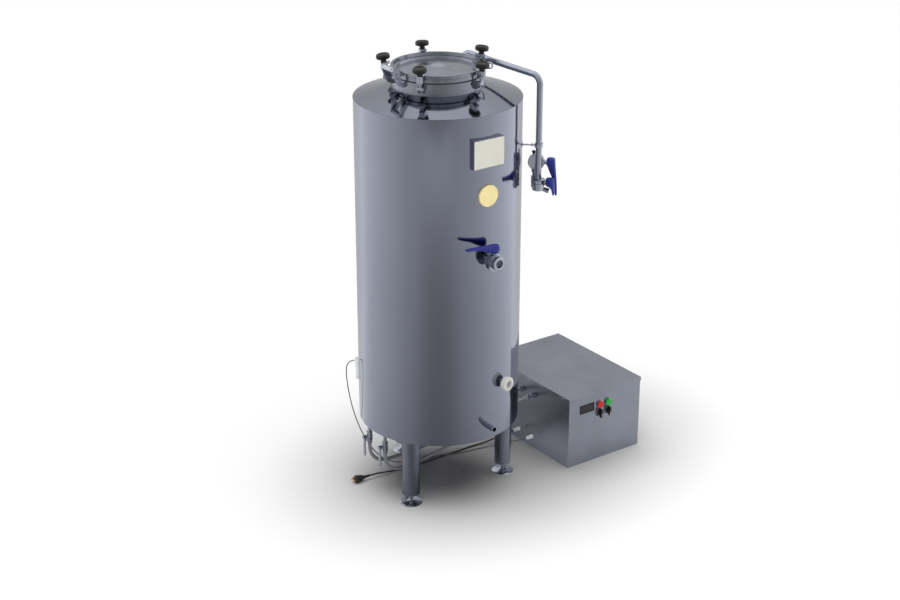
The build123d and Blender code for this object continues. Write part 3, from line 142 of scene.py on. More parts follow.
class Finish(Nodes):
    """A material under construction, with its main shader and its tree."""

    def __init__(self, name, roughness=0.5, metallic=0.0, colour=(0.5, 0.5, 0.5)):
        self.material = bpy.data.materials.new(name)
        self.material.use_nodes = True
        super().__init__(self.material.node_tree)
        self.shader = self.tree.nodes["Principled BSDF"]
        self.set("Roughness", roughness)
        self.set("Metallic", metallic)
        self.set("Base Color", (*colour, 1))
        self.material.diffuse_color = (*colour, 1)

    def set(self, name, value):
        self.join(value, self.shader.inputs[name])

    def surface(self, scale=(1, 1, 1)):
        """Positions on the piece in metres, stretched by a scale along each axis."""
        place = self.node("ShaderNodeTexCoord").outputs["Object"]
        return self.node("ShaderNodeMapping", None, {"Vector": place, "Scale": scale}).outputs[0]

    def noise(self, scale, detail=3.0, stretch=(1, 1, 1), roughness=0.5):
        return self.amount(
            "ShaderNodeTexNoise", None,
            {"Vector": self.surface(stretch), "Scale": scale, "Detail": detail,
             "Roughness": roughness},
        )

    def blend(self, factor, first, second):
        """A colour between two others."""
        made = self.node(
            "ShaderNodeMix", {"data_type": "RGBA"},
            {0: factor, 6: (*first, 1) if isinstance(first, tuple) else first,
             7: (*second, 1) if isinstance(second, tuple) else second},
        )
        return made.outputs[2]

    def limits(self, value, low, high, to_low=0.0, to_high=1.0):
        return self.amount(
            "ShaderNodeMapRange", None,
            {"Value": value, "From Min": low, "From Max": high, "To Min": to_low,
             "To Max": to_high},
        )

    def bump(self, height, strength=0.2, distance=0.001):
        made = self.node(
            "ShaderNodeBump", None, {"Height": height, "Strength": strength, "Distance": distance}
        )
        self.set("Normal", made.outputs[0])


def tint(colour, share):
    """The colour made lighter or darker by a share."""
    return tuple(min(1.0, c * share) for c in colour)


print("node classes ready")

# %% [markdown]
# ## Camera and light
# The camera stands to the left of the front and looks down on the tank. A long lens from far
# away keeps the tank's sides nearly upright. The camera comes before the pieces, because the
# cables are laid for what it sees.

# %% Camera
CAMERA_TURN = radians(35.55)
camera_data = bpy.data.cameras.new("camera")
camera_data.lens = 70.28
camera_data.sensor_width = 36.0
camera_data.clip_end = 60.0
camera = bpy.data.objects.new("camera", camera_data)
camera.location = at(-4305, -6116, 4061)
camera.rotation_euler = (radians(67.12), 0, -CAMERA_TURN)
bpy.context.scene.collection.objects.link(camera)
bpy.context.scene.camera = camera
bpy.context.scene.view_settings.view_transform = "Standard"
print("camera", [round(v, 3) for v in camera.location], "lens", camera_data.lens)

# %% [markdown]
# Steel has hardly a colour of its own: it shows the room. The room here is bright behind and
# beside the tank and dim on the camera's side, so the drum turns from light at its edges to dark
# in the middle. Only mirrored rays see that gradient. Matt things are lit by a wide soft sun
# overhead, which gives the broad shadow on the floor, and by a weak fill from the front.

# %% Room light
AWAY = (sin(CAMERA_TURN), cos(CAMERA_TURN), 0.0)
ROOM_TONES = ((0.0, 0.24), (0.07, 0.38), (0.24, 0.56), (0.54, 0.80), (0.78, 1.0), (1.0, 0.42))
ROOM_FOR_MATT = 0.06       # strength of the room's light on matt things
ROOM_FOR_STEEL = 1.3       # and in mirrored rays


# The floor also takes this tone into its colour for mirrored rays, as painted light.
def room_tone(nodes, direction):
    """The room's tone in a direction: dim towards the camera, bright beyond the tank."""
    along = nodes.node("ShaderNodeVectorMath", {"operation": "DOT_PRODUCT"},
                       {0: direction, 1: AWAY})
    share = nodes.node("ShaderNodeMapRange", None, {
        "Value": along.outputs["Value"], "From Min": -1.0,
    })
    stops = [(place, (tone, tone, tone)) for place, tone in ROOM_TONES]
    ramp = nodes.node("ShaderNodeValToRGB", {"stops": stops}, {"Fac": share.outputs["Result"]})
    return ramp.outputs["Color"]


world = bpy.data.worlds.new("studio")
bpy.context.scene.world = world
world.use_nodes = True
room = Nodes(world.node_tree)
room.tree.nodes.clear()
rays = room.node("ShaderNodeLightPath").outputs
looking = room.node("ShaderNodeTexCoord").outputs["Generated"]


def room_light(colour, strength):
    """The room's light in one colour and strength."""
    return room.node("ShaderNodeBackground", None,
                     {"Color": colour, "Strength": strength}).outputs[0]


def split_by(ray, others, these):
    """One light for one kind of ray, and another for all others."""
    return room.node("ShaderNodeMixShader", None, {0: rays[ray], 1: others, 2: these}).outputs[0]


WHITE = (1, 1, 1, 1)
lit = split_by("Is Glossy Ray", room_light(WHITE, ROOM_FOR_MATT),
               room_light(room_tone(room, looking), ROOM_FOR_STEEL))
shown = split_by("Is Camera Ray", lit, room_light(WHITE, 1.0))
room.node("ShaderNodeOutputWorld", None, {"Surface": shown})
print("room light has", len(room.tree.nodes), "nodes")


def lamp(name, kind, place, target, power):
    """A lamp that faces a point and isn't mirrored in the steel."""
    data = bpy.data.lights.new(name, kind)
    data.energy = power
    made = bpy.data.objects.new(name, data)
    made.location = place
    made.rotation_euler = (target - place).to_track_quat("-Z", "Y").to_euler()
    made.visible_glossy = False
    bpy.context.scene.collection.objects.link(made)
    return data


sky = lamp("sky", "SUN", at(0, 0, 6000), at(0, 0, 0), 3.05)
sky.angle = radians(74)
fill = lamp("front_fill", "AREA", at(-3600, -5000, 1500), at(100, 0, 1000), 105)
fill.shape = "RECTANGLE"
fill.size, fill.size_y = 3.5, 1.6

# %% [markdown]
# ## Finishes
# ### Stainless steel
# The drum is sheet steel with a fine grain that runs upright, and faint clouds where it was
# rolled. Noise that is stretched a hundredfold along the grain gives the streaks: they move the
# roughness a little and make a bump far too fine to see one line of. Broad noise shifts the
# colour. The smaller parts are ground and polished, so they are brighter and have no one grain.


# %% Steel finishes
def steel_sheet(name, colour, roughness, grain, cloud=4.0, uneven=0.10):
    """Brushed sheet: grain is how many streaks lie in a metre along X, Y and Z."""
    finish = Finish(name, roughness, 1.0, colour)
    streak = finish.noise(1.0, 2.0, grain)
    clouds = finish.noise(cloud, 4.0, (1, 1, 0.45), 0.55)
    tone = finish.limits(clouds * 0.75 + streak * 0.25, 0.32, 0.68)
    finish.set("Base Color", finish.blend(tone, tint(colour, 1 - uneven), tint(colour, 1 + uneven)))
    finish.set("Roughness", finish.limits(streak * 0.6 + clouds * 0.4, 0.3, 0.7, roughness - 0.03,
                                          roughness + 0.05))
    finish.bump(streak, 0.06, 0.0004)
    return finish.material


def ground_steel(name, colour, roughness):
    """Machined or polished fittings: short scratches in no one direction, and finger marks."""
    finish = Finish(name, roughness, 1.0, colour)
    scratches = finish.noise(900.0, 2.0, (1, 1, 0.3))
    marks = finish.noise(28.0, 3.0)
    tone = finish.limits(marks, 0.35, 0.65)
    finish.set("Base Color", finish.blend(tone, tint(colour, 0.9), tint(colour, 1.08)))
    finish.set("Roughness", finish.limits(marks * 0.7 + scratches * 0.3, 0.35, 0.65,
                                          roughness - 0.06, roughness + 0.08))
    finish.bump(scratches, 0.05, 0.0003)
    return finish.material


shell_steel = steel_sheet("shell_steel", (0.285, 0.305, 0.372), 0.085, (260, 260, 3), 3.0, 0.06)
cone_steel = steel_sheet("cone_steel", (0.225, 0.242, 0.292), 0.075, (120, 120, 120))
unit_steel = steel_sheet("unit_steel", (0.262, 0.278, 0.325), 0.22, (4, 240, 4), 5.0)
fitting_steel = ground_steel("fitting_steel", (0.47, 0.49, 0.56), 0.17)
lid_steel = ground_steel("lid_steel", (0.29, 0.305, 0.355), 0.20)
pipe_steel = steel_sheet("pipe_steel", (0.40, 0.42, 0.50), 0.20, (500, 500, 8), 12.0)
leg_steel = steel_sheet("leg_steel", (0.24, 0.26, 0.315), 0.24, (400, 400, 6), 8.0)
lever_steel = ground_steel("lever_steel", (0.40, 0.40, 0.54), 0.24)
print("steel finishes", [m.name for m in bpy.data.materials if "steel" in m.name])

# %% [markdown]
# ### Plastics, paint and rubber
# Moulded plastic is one colour, so its life comes from its surface: a very fine texture, a
# little uneven tone and a gloss that isn't even. Paint adds a slight orange peel. Rubber
# is dull.


# %% Plastic, paint and rubber finishes
def moulded(name, colour, roughness, texture=700.0, depth=0.10, uneven=0.10):
    finish = Finish(name, roughness, 0.0, colour)
    fine = finish.noise(texture, 2.0)
    broad = finish.noise(22.0, 3.0)
    tone = finish.limits(broad, 0.3, 0.7)
    finish.set("Base Color", finish.blend(tone, tint(colour, 1 - uneven), tint(colour, 1 + uneven)))
    finish.set("Roughness", finish.limits(broad * 0.6 + fine * 0.4, 0.3, 0.7, roughness - 0.07,
                                          roughness + 0.09))
    finish.bump(fine, depth, 0.0004)
    return finish.material


def painted(name, colour, roughness):
    finish = Finish(name, roughness, 0.0, colour)
    peel = finish.noise(260.0, 2.0)
    dust = finish.noise(9.0, 4.0)
    finish.set("Base Color", finish.blend(finish.limits(dust, 0.35, 0.7), colour,
                                          tint(colour, 0.94)))
    finish.set("Roughness", finish.limits(dust, 0.3, 0.7, roughness - 0.04, roughness + 0.06))
    finish.bump(peel, 0.05, 0.0005)
    return finish.material


knob_black = moulded("knob_black", (0.004, 0.004, 0.0045), 0.42, 700.0, 0.06)
handle_blue = moulded("handle_blue", (0.010, 0.016, 0.20), 0.40, 500.0, 0.06, 0.12)
ring_white = moulded("ring_white", (0.66, 0.65, 0.61), 0.32)
gland_grey = moulded("gland_grey", (0.86, 0.87, 0.88), 0.42)
seal_rubber = moulded("seal_rubber", (0.02, 0.02, 0.02), 0.62, 400.0, 0.2)
plug_black = moulded("plug_black", (0.012, 0.012, 0.012), 0.5, 500.0, 0.2)
hose_grey = moulded("hose_grey", (0.21, 0.215, 0.23), 0.46, 420.0, 0.15)
cable_grey = moulded("cable_grey", (0.11, 0.11, 0.115), 0.5)
cable_black = moulded("cable_black", (0.014, 0.014, 0.014), 0.45)
foam_cream = moulded("foam_cream", (0.75, 0.66, 0.42), 0.9, 300.0, 0.4)
panel_cream = painted("panel_cream", (0.76, 0.75, 0.66), 0.42)
disc_yellow = painted("disc_yellow", (0.97, 0.83, 0.40), 0.45)
machine_black = painted("machine_black", (0.03, 0.03, 0.033), 0.4)
button_red = moulded("button_red", (0.62, 0.012, 0.010), 0.3)
button_green = moulded("button_green", (0.012, 0.42, 0.045), 0.3)
screen_black = moulded("screen_black", (0.006, 0.006, 0.008), 0.12, 60.0, 0.0, 0.2)
mark_white = painted("mark_white", (0.75, 0.75, 0.72), 0.5)
bare_metal = Finish("pin_copper", 0.25, 1.0, (0.80, 0.47, 0.20))
bare_metal.set("Roughness", bare_metal.limits(bare_metal.noise(300.0), 0.3, 0.7, 0.2, 0.36))
pin_copper = bare_metal.material
print(len(bpy.data.materials), "finishes in all")

# %% [markdown]
# ### Dress the solid model
# A piece whose shape is right as it was drawn only needs its finish. The table below gives each
# one; whatever is left over is printed, so nothing stays undressed by accident.

# %% Finish of each solid piece
dress = {
    "outer_shell": shell_steel, "top_cone": cone_steel, "bottom_plate": cone_steel,
    "insulation": foam_cream, "inner_vessel": fitting_steel, "cooling_jacket": fitting_steel,
    "vessel_nozzles": fitting_steel, "legs": leg_steel, "manway_neck": lid_steel,
    "clamp_brackets": fitting_steel, "lid_hinge_bracket": fitting_steel,
    "lid_gasket": seal_rubber, "lid": lid_steel, "lid_cap": lid_steel, "lid_handle": fitting_steel,
    "lid_hinge_arm": fitting_steel, "panel_box": shell_steel, "dial_disc": disc_yellow,
    "outlet_valve_body": fitting_steel, "outlet_union": fitting_steel,
    "sample_port_nut": ring_white, "fill_pipe": pipe_steel, "fill_pipe_bracket": fitting_steel,
    "fill_valve_bodies": fitting_steel, "coolant_valves": fitting_steel,
    "hose_fittings": fitting_steel, "cable_glands": gland_grey, "mains_plug": plug_black,
    "unit_casing": unit_steel, "unit_lid": unit_steel, "unit_tray": unit_steel,
    "display_window": screen_black, "red_button": button_red, "green_button": button_green,
    "selector_left": knob_black, "selector_right": knob_black,
    "refrigeration_set": machine_black, "condenser_fan": knob_black,
    "outlet_valve_handle": handle_blue, "upper_fill_handle": handle_blue,
    "lower_fill_handle": handle_blue, "coolant_lever_1": lever_steel,
    "coolant_lever_2": lever_steel, "hose_1": hose_grey, "hose_2": hose_grey,
    "sensor_cord": cable_grey, "mains_cord": cable_black,
}
for number in range(1, 6):
    dress[f"clamp_bolt_{number}"] = fitting_steel
    dress[f"clamp_knob_{number}"] = knob_black
for number in range(1, 4):
    dress[f"foot_{number}"] = fitting_steel
for name, finish in dress.items():
    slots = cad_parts[name].material_slots
    if not slots:
        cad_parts[name].data.materials.append(finish)
    for one in slots:
        one.link = "OBJECT"
        one.material = finish
print("without a finish:", sorted(set(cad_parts) - set(dress)))

# %% [markdown]
# ## The floor
# The floor is a large pale sheet. It isn't part of the tank. In mirrored rays its colour is painted
# light, the room's gradient: dim towards the camera and lighter further out, as the drum mirrors
# mostly floor. Round the tank and the cooling unit a painted shadow deepens the soft one.

# %% Floor
FLOOR_HALF = 30                       # half its side, in metres
PALE = (0.97, 0.97, 0.97)
SHADED = (0.40, 0.40, 0.40)
SHADE_SHIFT = -0.30                   # moves the middle of the shade towards the unit
SHADE_SHAPE = (0.72, 1.0, 1.0)        # below one along X, which makes the shade longer there
SHADE_FROM, SHADE_TO = 0.1, 1.05      # where it starts to fade, and where it has faded
corners = [(-FLOOR_HALF, -FLOOR_HALF, 0), (FLOOR_HALF, -FLOOR_HALF, 0),
           (FLOOR_HALF, FLOOR_HALF, 0), (-FLOOR_HALF, FLOOR_HALF, 0)]
floor_mesh = bpy.data.meshes.new("floor")
floor_mesh.from_pydata(corners, [], [(0, 1, 2, 3)])
floor = bpy.data.objects.new("floor", floor_mesh)
bpy.context.scene.collection.objects.link(floor)
paint = Finish("floor_pale", 0.9, 0.0, PALE)
paint.set("Roughness", paint.limits(paint.noise(3.0), 0.3, 0.7, 0.85, 0.95))
paint.set("Specular IOR Level", 0.0)
from_axis = paint.node("ShaderNodeMapping", None, {
    "Vector": paint.node("ShaderNodeTexCoord").outputs["Object"],
    "Location": (-AXIS_X, -AXIS_Y, 0.0),
}).outputs[0]
outwards = paint.node("ShaderNodeVectorMath", {"operation": "NORMALIZE"},
                      {0: from_axis}).outputs[0]
reach = paint.amount("ShaderNodeVectorMath", {"operation": "LENGTH"}, {0: from_axis}, "Value")
# Painted light: for mirrored rays the floor's colour is the room's light gradient, dim towards the
# camera and lighter further out.
mirrored = paint.node("ShaderNodeVectorMath", {"operation": "SCALE"}, {
    0: room_tone(paint, outwards), "Scale": paint.limits(reach, 0.8, 4.4, 0.97, 1.20),
}).outputs[0]
# Painted shadow: the floor's paint darkens from PALE to SHADED towards the tank and the unit.
spread = paint.node("ShaderNodeMapping", None, {
    "Vector": from_axis, "Location": (SHADE_SHIFT, 0.0, 0.0), "Scale": SHADE_SHAPE,
}).outputs[0]
near_tank = paint.amount("ShaderNodeVectorMath", {"operation": "LENGTH"}, {0: spread}, "Value")
shade = paint.node("ShaderNodeMapRange", {"interpolation_type": "SMOOTHSTEP"}, {
    "Value": near_tank, "From Min": SHADE_FROM, "From Max": SHADE_TO,
}).outputs["Result"]
paint.set("Base Color", paint.blend(
    paint.node("ShaderNodeLightPath").outputs["Is Glossy Ray"],
    paint.blend(shade, SHADED, PALE), mirrored))
floor_mesh.materials.append(paint.material)
print("floor", 2 * FLOOR_HALF, "m across")

# %% [markdown]
# ## Hoses and cables
# Two hoses carry cold water between the jacket's valves and the cooling unit. They leave the
# valves straight down, bend at once under the tank and hang in a shallow arc to the unit. A thin
# sensor cable comes out of the pocket on the drum's side and the black mains cable lies on the
# floor with its plug. Each is a NURBS curve: its control points are the places where the line
# turns, and the curve between them is smooth, as a hose is.

# %% Curves for the lines
def line(name, points, diameter, finish):
    """A round hose or cable along listed points, given in the drawing's millimetres."""
    data = bpy.data.curves.new(name, "CURVE")
    data.dimensions = "3D"
    data.resolution_u = 10
    data.bevel_depth = diameter / 2 * MM
    data.bevel_resolution = 5
    data.use_fill_caps = True
    spline = data.splines.new("NURBS")
    spline.points.add(len(points) - 1)
    for point, place in zip(spline.points, points):
        point.co = (*at(*place), 1)
    spline.order_u = 3
    spline.use_endpoint_u = True
    data.materials.append(finish)
    piece = bpy.data.objects.new(name, data)
    bpy.context.scene.collection.objects.link(piece)
    print(name, "has", len(points), "points")
    return piece


hose_1_route = [
    (-337, 86, 232), (-337, 86, 188), (-317, 85, 148), (-281, 83, 123), (-227, 80, 116),
    (-140, 77, 118), (-30, 72, 128), (90, 68, 146), (210, 65, 172), (320, 62, 205),
    (395, 59, 243), (456, 56, 275), (508, 56, 275),
]
hose_2_route = [
    (-337, -45, 232), (-337, -45, 192), (-317, -45, 153), (-275, -44, 127), (-225, -44, 123),
    (-130, -43, 131), (-20, -42, 148), (95, -42, 171), (215, -42, 200), (325, -42, 233),
    (400, -41.5, 258), (456, -41, 279), (508, -41, 279),
]
sensor_route = [
    polar(397, 150, 616), polar(414, 150, 614), polar(429, 150, 598), polar(434, 150, 570),
    polar(432, 150, 520), polar(425, 150, 460), polar(414.5, 150, 398), polar(399, 150, 335),
    polar(379.5, 150, 272), (-306, 180, 212), (-276, 173, 154), (-237, 170, 100),
    (-188, 172, 55), (-133, 178, 23), (-73, 178, 6), (-12, 165, 3.2), (43, 145, 6),
    (97, 126, 13.5), (152, 111, 6), (212, 100, 3.2), (276, 92, 3), (338, 80, 4.5),
    (393, 55, 12), (432, 22, 27), (457, -10, 42), (474, -33, 52), (497, -43, 56),
]
PLUG_ANGLE = 175.5      # the plug on the floor: where its pins point, and its middle
PLUG_X, PLUG_Y, PLUG_Z = -338, 147, 19


def on_plug(along, side=0.0, up=0.0):
    """A point on the plug, measured along its axis towards the pins, sideways and up."""
    c, s = cos(radians(PLUG_ANGLE)), sin(radians(PLUG_ANGLE))
    return PLUG_X + along * c - side * s, PLUG_Y + along * s + side * c, PLUG_Z + up


mains_route = [
    (497, 62, 56), (470, 65, 54), (446, 77, 43), (421, 93, 28), (388, 109, 14),
    (342, 121, 5.5), (277, 126, 4.2), (190, 124, 4.5), (97, 126, 4.2), (0, 122.5, 4.5),
    (-85, 130, 4.2), (-150, 135, 5.5), (-200, 138, 10), (-243, 140.5, 16), (-273, 142.3, 18.6),
    on_plug(-34),
]
HOSE_D, SENSOR_D, MAINS_D = 17.0, 5.0, 8.0
hose_1 = line("cooling_hose_1", hose_1_route, HOSE_D, hose_grey)
hose_2 = line("cooling_hose_2", hose_2_route, HOSE_D, hose_grey)
sensor_cable = line("sensor_cable", sensor_route, SENSOR_D, cable_grey)
mains_cable = line("mains_cable", mains_route, MAINS_D, cable_black)

# %% [markdown]
# ## Pieces shaped here
# Some pieces are easier to shape as meshes than as solids: the moulded handles with their finger
# triggers, the panel's painted front, rims, pins, threads and welds. A loft joins rings of equal
# length, a lathe turns an outline and a block is a box with small bevels. Each gives corners and
# faces in a local frame, and `piece` puts several of them in place as one object.

# %% Mesh helpers
SAME_PLACE = 1e-6             # corners nearer than this, in metres, become one
SHARP_EDGE = radians(38)      # edges that turn by more stay sharp


def placed(origin, x_dir=(1, 0, 0), z_dir=(0, 0, 1)):
    """A local frame of the drawing as a matrix."""
    z = Vector(z_dir).normalized()
    x = Vector(x_dir).normalized()
    y = z.cross(x)
    return Matrix.Translation(Vector(origin)) @ Matrix((x, y, z)).transposed().to_4x4()


def loft(rings):
    count = len(rings[0])
    corners = [corner for one in rings for corner in one]
    faces = [
        (k * count + i, k * count + (i + 1) % count, (k + 1) * count + (i + 1) % count,
         (k + 1) * count + i)
        for k in range(len(rings) - 1) for i in range(count)
    ]
    faces += [tuple(reversed(range(count))), tuple(range(len(corners) - count, len(corners)))]
    return corners, faces


def round_turns(sides):
    return [2 * pi * k / sides for k in range(sides)]


def lathe(outline, sides=32):
    """A closed body turned about Z; the outline runs from one end to the other."""
    return loft([[(r * cos(t), r * sin(t), z) for t in round_turns(sides)] for r, z in outline])


def rounded(x, z, half_y, half_z, count=24, power=2.7):
    """A ring across X that lies between an ellipse and a rectangle."""
    ring = []
    for turn in round_turns(count):
        c, s = cos(turn), sin(turn)
        ring.append((x, half_y * abs(c) ** (2 / power) * (1 if c > 0 else -1),
                     z + half_z * abs(s) ** (2 / power) * (1 if s > 0 else -1)))
    return ring


def block(low, high, edge=0.4):
    """A box with a small bevel on the edges of its two Z faces."""
    (x0, y0, z0), (x1, y1, z1) = low, high

    def ring(inset, z):
        return [(x0 + inset, y0 + inset, z), (x1 - inset, y0 + inset, z),
                (x1 - inset, y1 - inset, z), (x0 + inset, y1 - inset, z)]

    return loft([ring(edge, z0), ring(0, z0 + edge), ring(0, z1 - edge), ring(edge, z1)])


def finished(name, mesh, finish, body):
    mesh.materials.clear()
    mesh.materials.append(finish)
    made = bpy.data.objects.new(name, mesh)
    bpy.context.scene.collection.objects.link(made)
    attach(made, body)
    return made


def closed_mesh(name, parts, same_place, sharp_edge):
    """A smooth mesh from (corners, faces) parts in metres; each part is a closed body."""
    work = bmesh.new()
    for corners, faces in parts:
        made = [work.verts.new(corner) for corner in corners]
        for face in faces:
            work.faces.new([made[i] for i in face])
        bmesh.ops.remove_doubles(work, verts=made, dist=same_place)
    bmesh.ops.recalc_face_normals(work, faces=work.faces)
    for face in work.faces:
        face.smooth = True
    mesh = bpy.data.meshes.new(name)
    work.to_mesh(mesh)
    work.free()
    mesh.set_sharp_from_angle(angle=sharp_edge)
    return mesh


def piece(name, parts, finish, body, slot):
    """One object from (matrix, (corners, faces)) parts, given in the drawing's millimetres."""
    put = [([at(*(place @ Vector(corner))) for corner in corners], faces)
           for place, (corners, faces) in parts]
    mesh = closed_mesh(name, put, SAME_PLACE, SHARP_EDGE)
    return finished(name, mesh, finish, body)


print("mesh helpers ready")

# %% [markdown]
# ### Valve handles
# All three butterfly valves have the same handle: a round hub, a lever that rises as it leaves
# the hub and thins towards its tip, and a finger trigger under it. Below the hub a steel spindle
# carries the disc that turns in the valve.

# %% Handles
LEVER = (
    (22, 17, 6, 5), (20, 18, 13, 13), (14, 20, 19, 17.5), (0, 21, 21, 18), (-18, 24, 19, 16),
    (-34, 28.5, 15.5, 13), (-55, 33, 13, 10.5), (-85, 37.5, 11.5, 8.5), (-115, 41, 10.5, 6.8),
    (-140, 43, 10, 5.6), (-151, 43.6, 9, 4.6), (-155, 43.8, 5, 2.5),
)
TRIGGER = (
    (-10, 9, 5, 4), (-20, 10, 8, 5.5), (-38, 15, 8, 5), (-56, 22, 7.5, 4), (-74, 29, 7, 3.5),
    (-86, 33, 5, 3),
)
HUB = ((0, 0), (13, 0), (19, 3), (21.5, 8), (21.5, 30), (19, 35), (12, 37.5), (0, 38))
FILL_ANGLE = -42.57             # where the upright fill pipe stands round the tank
FILL_R = 449.4                  # its distance from the tank's axis
RISER_BACK = 42                 # the bypass riser behind it
HUB_OUT = 34                    # foot of the two handles outside it
UPPER_VALVE_Z, LOWER_VALVE_Z = 1580, 1500
OUTLET_HANDLE = (0, -425, 1274)
OUT = polar(1, FILL_ANGLE, 0)
ALONG = polar(1, FILL_ANGLE + 90, 0)


def by_fill_pipe(out, along, z):
    """A point near the fill pipe's axis: outwards, round the tank and up."""
    return tuple((FILL_R + out) * o + along * a for o, a in zip(OUT[:2], ALONG[:2])) + (z,)


def handle(node, body, place, drop, disc_r):
    """A handle on its spindle; the valve's disc hangs below, drop from the hub to its edge."""
    lever = piece(node + "_grip", [
        (place, lathe(HUB, 40)), (place, loft([rounded(*one) for one in LEVER])),
        (place, loft([rounded(*one) for one in TRIGGER])),
    ], handle_blue, body, "blue")
    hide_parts(node)
    disc = placed((0, 0, -drop - disc_r), (0, 0, 1), (0, 1, 0))
    piece(node + "_spindle", [
        (place, lathe(((0, -drop - 6), (7, -drop - 6), (7, 1), (0, 1)), 24)),
        (place @ disc, lathe(((0, -2), (disc_r, -2), (disc_r, 2), (0, 2)), 32)),
        (place, lathe(((0, -0.6), (10.5, -0.6), (10.5, 0.4), (0, 0.4)), 24)),
    ], fitting_steel, body, "polished")


handle("outlet_valve_handle", "outlet_handle", placed(OUTLET_HANDLE), 27.5, 14.5)
handle("upper_fill_handle", "upper_fill_handle",
       placed(by_fill_pipe(HUB_OUT, RISER_BACK, UPPER_VALVE_Z), (0, 0, 1), OUT), 35.0, 12.0)
handle("lower_fill_handle", "lower_fill_handle",
       placed(by_fill_pipe(HUB_OUT, 0, LOWER_VALVE_Z), ALONG, OUT), 22.0, 12.0)
print("handles shaped")

# %% [markdown]
# ### Front details
# The panel's painted front sits in a steel frame. The display has a dark rim, and each button and
# switch a thin steel ring. The switches have a white line on the grip, the plug has bare pins,
# and the vent on the fill valve ends in a black ball.

# %% Small fronts, rims and pins
TO_FRONT = placed((0, 0, 0), (1, 0, 0), (0, -1, 0))
PANEL_FACE = (-6, -389, 1721)          # middle of the panel's front
UNIT_FRONT = -324                      # front of the cooling unit
BUTTON_XS = (724, 776)
BUTTON_Z, SWITCH_Z = 292, 252


def facing_front(x, y, z):
    """A frame on the front: X to the right, Y up, Z towards the viewer."""
    return Matrix.Translation(Vector((x, y, z))) @ TO_FRONT


def tube_ring(inner, outer, low, high):
    """A flat ring turned about Z, with soft outer edges."""
    outline = [(inner, low), (outer, low), (outer, high - 0.6), (outer - 0.6, high),
               (inner + 0.4, high), (inner, high - 0.4)]
    sides = 36
    rings = [[(r * cos(t), r * sin(t), z) for r, z in outline] for t in round_turns(sides)]
    corners = [corner for one in rings for corner in one]
    n = len(outline)
    faces = []
    for k in range(sides):
        here, following = k * n, (k + 1) % sides * n
        for i in range(n):
            after = (i + 1) % n
            faces.append((here + i, here + after, following + after, following + i))
    return corners, faces


piece("panel_front", [(facing_front(*PANEL_FACE), block((-79, -62, 0), (79, 62, 3), 0.8))],
      panel_cream, "tank", "cream")
rim = facing_front(645, UNIT_FRONT, 291)
piece("display_rim", [
    (rim, block((-43, 18.5, 0), (43, 22, 3))), (rim, block((-43, -22, 0), (43, -18.5, 3))),
    (rim, block((-43, -18.6, 0), (-39.5, 18.6, 3))), (rim, block((39.5, -18.6, 0), (43, 18.6, 3))),
], knob_black, "tank", "black")
piece("button_rings", [
    (facing_front(x, UNIT_FRONT, BUTTON_Z), tube_ring(18.6, 21.5, 0, 4)) for x in BUTTON_XS
], fitting_steel, "tank", "polished")
piece("switch_rings", [
    (facing_front(x, UNIT_FRONT, SWITCH_Z), tube_ring(17.4, 19.5, 0, 2.5)) for x in BUTTON_XS
], fitting_steel, "tank", "polished")
GRIP_DEPTH = 23                        # how far a switch's grip stands out
for side, x in zip(("left", "right"), BUTTON_XS):
    piece(f"pointer_{side}", [
        (facing_front(x, UNIT_FRONT - GRIP_DEPTH, SWITCH_Z),
         block((-1.2, -25, -0.6), (1.2, -8, 0.5), 0.2)),
    ], mark_white, f"selector_{side}", "black")
plug = placed(on_plug(0), polar(1, PLUG_ANGLE + 90, 0), polar(1, PLUG_ANGLE, 0))
pins = []
for x, y, radius, tip in ((9.5, 0, 2.6, 63.3), (-9.5, 0, 2.6, 63.3), (0, 11, 3.4, 59.3)):
    outline = ((0, 43.5), (radius, 43.5), (radius, tip - 1), (radius - 0.9, tip + 0.1),
               (0, tip + 0.1))
    pins.append((plug @ Matrix.Translation(Vector((x, y, 0))), lathe(outline, 20)))
plug_pins = piece("plug_pins", pins, pin_copper, "tank", "rubber")
BALL_R = 8.3
ball = [(BALL_R * sin(radians(a)), -BALL_R * cos(radians(a))) for a in range(0, 181, 15)]
piece("vent_ball", [(placed(by_fill_pipe(-25, RISER_BACK, 1626)), lathe(ball, 24))], knob_black,
      "tank", "black")

# %% [markdown]
# ### What repeats
# Welds, threads and screws are one small shape many times over, so Geometry Nodes makes them.
# The input is a mesh of loose points, each with the direction that its copy faces. The group
# turns a copy to face that way, twists it by a random angle from a fixed seed, and joins all
# copies into one mesh with one finish.

# %% Node group for repeated shapes
repeat = bpy.data.node_groups.new("repeat_on_points", "GeometryNodeTree")
inputs = {}
for label, direction, kind in (
    ("Points", "INPUT", "NodeSocketGeometry"), ("Shape", "INPUT", "NodeSocketObject"),
    ("Twist", "INPUT", "NodeSocketFloat"), ("Seed", "INPUT", "NodeSocketInt"),
    ("Finish", "INPUT", "NodeSocketMaterial"), ("Copies", "OUTPUT", "NodeSocketGeometry"),
):
    inputs[label] = repeat.interface.new_socket(
        name=label, in_out=direction, socket_type=kind).identifier
copying = Nodes(repeat)
given = copying.node("NodeGroupInput").outputs
way = copying.node("GeometryNodeInputNamedAttribute", {"data_type": "FLOAT_VECTOR"},
                   {"Name": "facing"})
aligned = copying.node("FunctionNodeAlignRotationToVector", {"axis": "Z"},
                       {"Vector": way.outputs["Attribute"]})
angle = copying.node("FunctionNodeRandomValue", {"data_type": "FLOAT"},
                     {3: given["Twist"], "Seed": given["Seed"]})
spin = copying.node("FunctionNodeAxisAngleToRotation", None, {"Angle": angle.outputs[1]})
turned = copying.node("FunctionNodeRotateRotation", {"rotation_space": "LOCAL"},
                      {"Rotation": aligned.outputs[0], "Rotate By": spin.outputs[0]})
shape = copying.node("GeometryNodeObjectInfo", {"transform_space": "ORIGINAL"},
                     {"Object": given["Shape"]})
copies = copying.node("GeometryNodeInstanceOnPoints", None, {
    "Points": given["Points"], "Instance": shape.outputs["Geometry"], "Rotation": turned.outputs[0],
})
